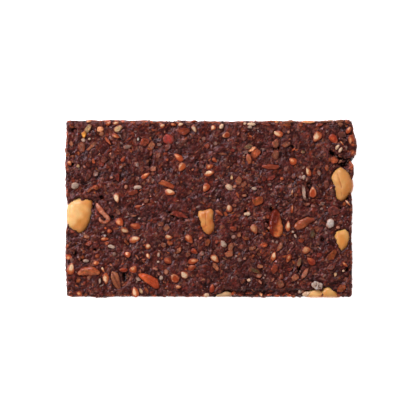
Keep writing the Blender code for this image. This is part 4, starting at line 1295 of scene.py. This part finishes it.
def make_grains(trees):
    """Pale rounded grains, half sunk."""
    draw, rng = chances(7)
    grains = list(TOP_GRAINS)
    beside = spots_round(trees, SIDES[1:], draw, spacing=8.5 * MM, gap=0.8 * MM)
    for spot in beside:
        long = draw.uniform(0.35, 1.0)
        tone = draw.choice(GRAIN_TONES)
        wide = long * draw.uniform(0.6, 0.9)
        grains.append(Piece(spot.place.x / MM, spot.place.y / MM, long, wide, draw.uniform(0, 360), tone))
    spots = top_spots(TOP_GRAINS) + beside
    halves = np.array([(grain.long, grain.wide, 0.55 * grain.wide + 0.1) for grain in grains]) * MM
    shapes, faces = rough_ball_shapes(halves, rng, roughness=0.06, segments=16, rings=10)
    apart = np.repeat(rng.uniform(0, 9, len(grains)), shapes.shape[1])[:, None]
    shapes *= 1 + layer("grain_form", shapes.reshape(-1, 3) + apart).reshape(len(grains), -1, 1)
    ways = leaning(spots, draw, share=0.2, tilt=0.08)
    points, faces = stamp(shapes, faces, spots, 0.25 * halves[:, 2], ways, turns_of(grains))
    tint = tones_of([grain.tone for grain in grains], rng, shapes.shape[1], spread=0.06)
    tint *= rng.uniform(0.88, 1.08, tint.shape[:2])[:, :, None]
    tint = blend(tint, STAIN, 0.75 * smooth(-shapes[:, :, 2] / halves[:, 2:], -0.6, -0.1))
    add_mesh("pale_grains", points, faces, tint, "pale_crumbs", soft=False)


def husk_form(places):
    """A curled strip's points, in circles along the line through its places, and its end points."""
    knots = np.array(places) * MM
    steps = np.linspace(0, len(knots) - 1, HUSK_SECTIONS)
    line = np.column_stack([np.interp(steps, np.arange(len(knots)), column) for column in knots.T])
    padded = np.vstack([line[:1]] * 3 + [line] + [line[-1:]] * 3)
    window = np.hanning(9)
    line = np.column_stack([np.convolve(column, window[1:-1] / window.sum(), "valid") for column in padded.T])
    along = np.gradient(line[:, :2], axis=0)
    along /= np.linalg.norm(along, axis=1)[:, None]
    ends = np.sqrt(np.clip(1 - np.linspace(-1, 1, HUSK_SECTIONS) ** 6, 0.02, 1))
    flat = np.column_stack((line[:, :2], np.full(HUSK_SECTIONS, THICKNESS)))
    width = line[:, 2] * ends * (1 + layer("husk_width", flat))
    level = THICKNESS + layer("swell", flat) + 0.02 * MM
    turn = husk_turns()
    x = line[:, 0, None] - np.outer(along[:, 1] * width, np.cos(turn))
    y = line[:, 1, None] + np.outer(along[:, 0] * width, np.cos(turn))
    z = level[:, None] + np.outer(0.3 * MM + 0.2 * width, np.sin(turn)) * ends[:, None]
    middles = np.column_stack((line[[0, -1], :2], level[[0, -1]]))
    return np.vstack((np.stack((x, y, z), axis=2).reshape(-1, 3), middles))


def husk_turns():
    """The angles of the corners round a husk."""
    return np.linspace(0, 2 * np.pi, HUSK_SIDES, endpoint=False)


def make_husks():
    """Curled strips of husk, half sunk in the top."""
    low = np.append(np.tile(1 - smooth(np.sin(husk_turns()), 0.2, 1.0), HUSK_SECTIONS), (1, 1))
    faces = tube_faces(HUSK_SIDES, HUSK_SECTIONS)[:, ::-1]
    all_points = []
    all_tints = []
    for tone, places in HUSKS:
        points = husk_form(places)
        points += layer_ways("husk_form", points)
        tint = TONES[tone] * (1 + layer("husk_mottle", points))[:, None]
        tint = blend(tint, STAIN, 0.6 * smooth(layer("husk_stain", points), 0.0, 0.4))
        all_tints.append(blend(tint, STAIN, 0.85 * low))
        all_points.append(points)
    shifts = np.arange(len(HUSKS)) * len(low)
    all_faces = (faces[None] + shifts[:, None, None]).reshape(-1, 3)
    add_mesh("husks", np.vstack(all_points), all_faces, np.vstack(all_tints), "chips")


def make_flake():
    """The white lumpy flake near the front right corner, full of holes, which are darkened with painted
    shade.
    """
    ball, faces = ball_shape(48, 32)
    size = FLAKE_SIZE
    holes = smooth(noise_at(ball * size, 0.42, 60), 0.05, 0.4)
    lumps = noise_at(ball * size, 0.8, 61)
    squarer = (np.abs(ball) ** 3).sum(1) ** (-1 / 3)
    place = ball * squarer[:, None] * size * (1 + 0.22 * lumps - 0.3 * holes)[:, None] * MM
    turned = place @ np.array(Matrix.Rotation(math.radians(FLAKE_TURN), 3, "Z")).T
    tint = blend(TONES["pale"], TONES["white"], smooth(lumps, -0.3, 0.4))
    # Painted shade in the dents of the holes, as dark umber
    tint = blend(tint, TONES["umber"], 0.9 * holes)
    tint = blend(tint, STAIN, 0.8 * smooth(-ball[:, 2], -0.25, 0.1))
    add_mesh("pale_flake", turned + np.array(FLAKE) * MM, faces, tint, "pale_crumbs")


def make_kernels():
    """Smooth kernels half sunk in the paste, and the red fruit."""
    draw, rng = chances(9)
    spots = top_spots(TOP_KERNELS)
    halves = np.array([(piece.long, piece.wide, 0.6 * min(piece.wide, 1.0)) for piece in TOP_KERNELS]) * MM
    shapes, faces = rough_ball_shapes(halves, rng, roughness=0.02, segments=28, rings=20)
    each = (len(halves), -1, 1)
    shapes *= 1 + layer("kernel_form", shapes.reshape(-1, 3)).reshape(each)
    ways = leaning(spots, draw, share=0, tilt=0.04)
    points, faces = stamp(shapes, faces, spots, 0.5 * halves[:, 2], ways, turns_of(TOP_KERNELS))
    tint = np.array([TONES[piece.tone] for piece in TOP_KERNELS], float)[:, None]
    flat = shapes.reshape(-1, 3)
    tint = tint * (1 + layer("kernel_mottle", flat + points * 0.3)).reshape(each)
    greyed = np.array([0.75 if piece.tone == "fruit" else 0.2 for piece in TOP_KERNELS])[:, None]
    tint = blend(tint, MAUVE, greyed * smooth(layer("kernel_grey", flat), -0.1, 0.4).reshape(len(halves), -1))
    tint = blend(tint, STAIN, 0.6 * (1 - smooth(shapes[:, :, 2] / halves[:, 2:], 0.35, 0.95)))
    add_mesh("sunk_kernels", points, faces, tint, "chips", finish="kernel")


def seed_tint(local, tone, side):
    """A sesame seed's colour over its unit form: a pale patch off its middle on the side toward the key
    lights, painted light, toasted round it, and stained by the paste at its rim."""
    x, y = local[:, 0], local[:, 1]
    body, pale, size, tip = SEED_TONES[tone]
    uneven = 0.26 * noise_at(local, 0.5, side) + 0.22 * noise_at(local, 0.22, side)
    away = np.hypot(x - 0.35 * math.cos(side), y - 0.35 * math.sin(side)) + uneven
    if tone in OPEN_RINGS:
        facing = (x * math.cos(side) + y * math.sin(side)) / (np.hypot(x, y) + 0.1)
        away = 1.1 - np.hypot(x + 0.1, y) + uneven - OPEN_RINGS[tone] * facing
    tint = blend(body, pale, 1 - smooth(away, size - 0.22, size + 0.28))
    tint = blend(tint, SEED_CREAM, tip * smooth(x + uneven, 0.5, 0.85))
    tint *= (1 + 0.10 * noise_at(local, 0.3, side + 1))[:, None]
    return blend(tint, STAIN, 0.85 * smooth(np.hypot(x, y) + 0.5 * uneven, 0.60, 0.92))


def stamp_seeds(spots, seeds, draw, rng, segments, rings, depths, tilt):
    """Points, faces and colours of seeds that lie at the spots. Their outlines are drops."""
    ball, faces = ball_shape(segments, rings)
    x, y, z = ball.T
    drop = np.column_stack((x, y * (1 - 0.34 * x) * (1 - 0.10 * x * x), z * (0.7 + 0.3 * (y**2 + x**2))))
    halves = np.array([(seed.long, seed.wide * 1.08, 0.26 + 0.22 * seed.wide) for seed in seeds]) * MM
    shapes = drop[None] * halves[:, None]
    apart = np.repeat(rng.uniform(0, 9, len(seeds)), len(ball))[:, None]
    shapes *= 1 + layer("seed_form", shapes.reshape(-1, 3) + apart).reshape(len(seeds), -1, 1)
    ways = leaning(spots, draw, share=0.1, tilt=tilt)
    sunk = [draw.uniform(*depths) * MM for _ in spots]
    turns = turns_of(seeds)
    points, faces = stamp(shapes, faces, spots, sunk, ways, turns)
    # Each seed's pale patch turns toward the key lights at the back left, as painted light
    sides = [draw.uniform(0.4, 1.1) * math.pi - turn for turn in turns]
    tints = [seed_tint(ball, seed.tone, side) for seed, side in zip(seeds, sides)]
    tint = np.stack(tints) * rng.uniform(0.90, 1.05, (len(seeds), 1, 1))
    return points, faces, tint.reshape(-1, 3)


def make_seeds(trees):
    """Sesame seeds: flat drops, most of them lying on their sides in the paste."""
    draw, rng = chances(8)
    spots = spots_round(trees, SIDES[1:], draw, spacing=6.6 * MM, gap=0.8 * MM)
    seeds = []
    for spot in spots:
        tone = draw.choice(SIDE_SEED_TONES)
        long = draw.uniform(0.8, 1.6)
        wide = long * draw.uniform(0.45, 0.65)
        seeds.append(Piece(spot.place.x / MM, spot.place.y / MM, long, wide, draw.uniform(0, 360), tone))
    fine = {"segments": 32, "rings": 20, "depths": (0.10, 0.24), "tilt": 0.10}
    plain = {"segments": 18, "rings": 12, "depths": (0.2, 0.4), "tilt": 0.2}
    on_top = stamp_seeds(top_spots(TOP_SEEDS), TOP_SEEDS, draw, rng, **fine)
    beside = stamp_seeds(spots, seeds, draw, rng, **plain)
    points, faces, tint = zip(on_top, beside)
    faces = np.concatenate((faces[0], faces[1] + len(points[0])))
    add_mesh("sesame_seeds", np.concatenate(points), faces, np.concatenate(tint), "seeds")


def make_nut(nut):
    """A nut with its own outline from above, rounded over its top and underside. Gives its surface."""
    ball, faces = ball_shape(NUT_SEGMENTS, NUT_RINGS)
    up = ball[:, 0]
    angle = np.degrees(np.arctan2(ball[:, 2], ball[:, 1])) % 360
    rim = rim_at(nut, angle)
    share = np.sqrt(np.clip(1 - up**2, 0, 1))
    height = np.sign(up) * cap(share)
    radians = np.radians(angle)
    x, y = rim * share * np.cos(radians), rim * share * np.sin(radians)
    place = np.column_stack((x, y, nut.half[2] * MM * height))
    place *= (1 + layer("nut_form", place, NUTS.index(nut)))[:, None]
    cuts = np.zeros(len(place))
    for start, end, half, depth in NUT_CUTS.get(nut.name, ()):
        cut = bell(to_polyline(x, y, (start, end)), half * MM) * (up > 0)
        place[:, 2] -= depth * MM * cut
        cuts = np.maximum(cuts, cut * min(1, depth * 3))
    if nut.slot != "peanut":
        place[:, 2] += layer("nut_wrinkle", place * (1, 1, 0.5)) * (up > 0)
    # The underside counts as edge, so it takes the painted shade tone
    tint = nut_tint(nut, place, share * (up > 0) + (up <= 0), cuts)
    points = place + np.array(nut.centre) * MM
    add_mesh(nut.name + "_nut", points, faces, tint, nut.slot, replaces=[nut.name])
    return surface_of(points, faces)


def nut_tint(nut, place, share, cuts):
    """A nut's colour: two tones in soft patches that also run from painted light toward the key lights to
    painted shade away from them, with painted shade at its edge and in its cracks.
    """
    light, warm, rim = NUT_TINTS[nut.name]
    step = NUTS.index(nut)
    right, back, shift = WARM_SIDES.get(nut.name, WARM_SIDES["any"])
    # Painted light and shade: the tones run across the nut by its side toward or away from the key lights
    aside = (right * place[:, 0] + back * place[:, 1]) / MM + shift
    patch = smooth(layer("nut_patch", place, step) + aside, -0.5, 0.6)
    # Painted shade at the edge, where the nut curves down into the paste
    edge = smooth(share + layer("nut_edge", place, step), 0.88, 0.99)
    tint = blend(blend(light, warm, patch), rim, 0.85 * edge)
    # Painted shade in the grooves and cracks
    return blend(tint, rim, 0.7 * cuts)


def add_softbox(name, azimuth, elevation, distance, size, power, colour):
    """A square soft light that points at the bar. Azimuth is from +X towards +Y."""
    light = bpy.data.lights.new(name, "AREA")
    light.shape = "SQUARE"
    light.size = size
    light.energy = power
    light.color = colour
    obj = bpy.data.objects.new(name, light)
    a = math.radians(azimuth)
    e = math.radians(elevation)
    way = Vector((math.cos(a) * math.cos(e), math.sin(a) * math.cos(e), math.sin(e)))
    obj.location = way * distance
    obj.rotation_euler = (-way).to_track_quat("-Z", "Y").to_euler()
    bpy.context.scene.collection.objects.link(obj)


def light_scene():
    """Even light from all round, dark straight above, and two cool key lights at the back left."""
    world = bpy.data.worlds.new("studio")
    world.use_nodes = True
    tree = world.node_tree
    way = add_node(tree, "ShaderNodeTexCoord").outputs["Generated"]
    height = add_node(tree, "ShaderNodeSeparateXYZ", {0: way}).outputs["Z"]
    strength = mapped(tree, height, *SKY_FADE, SKY_LIGHT, 0.0)
    set_inputs(tree, tree.nodes["Background"], {"Color": SKY_COLOUR, "Strength": strength})
    bpy.context.scene.world = world
    for softbox in SOFTBOXES:
        add_softbox(*softbox)
    bpy.context.scene.view_settings.view_transform = "Standard"


def make_floor():
    """A white floor that gives a little light of its own."""
    material = bpy.data.materials.new("white_floor")
    material.use_nodes = True
    set_inputs(material.node_tree, material.node_tree.nodes["Principled BSDF"], {
        "Base Color": (0.9, 0.9, 0.9, 1),
        "Roughness": 0.9,
        "Specular IOR Level": 0.0,
        "Emission Color": (1, 1, 1, 1),
        "Emission Strength": 0.9,
    })
    mesh = bpy.data.meshes.new("floor")
    corners = [(x * FLOOR_REACH, y * FLOOR_REACH, 0) for x, y in ((-1, -1), (1, -1), (1, 1), (-1, 1))]
    mesh.from_pydata(corners, [], [(0, 1, 2, 3)])
    mesh.materials.append(material)
    floor = bpy.data.objects.new("floor", mesh)
    bpy.context.scene.collection.objects.link(floor)


def add_camera():
    """A camera straight above, with as much in view as the photo."""
    data = bpy.data.cameras.new("camera")
    data.sensor_width = SENSOR
    data.lens = SENSOR * (CAMERA_HEIGHT - THICKNESS) / (FRAME_PIXELS * PIXEL)
    data.clip_start = 0.01
    camera = bpy.data.objects.new("camera", data)
    camera.location = (*CAMERA_OVER, CAMERA_HEIGHT)
    bpy.context.scene.collection.objects.link(camera)
    bpy.context.scene.camera = camera


MATERIALS = {name: make_material(name, finish) for name, finish in FINISHES.items()}
nut_trees = [make_nut(nut) for nut in NUTS]
trees = Trees(make_paste(nut_trees), nut_trees)
make_chips()
make_small_chips(trees)
make_crumbs(trees)
make_grains(trees)
make_flake()
make_husks()
make_seeds(trees)
make_kernels()
add_camera()
light_scene()
make_floor()
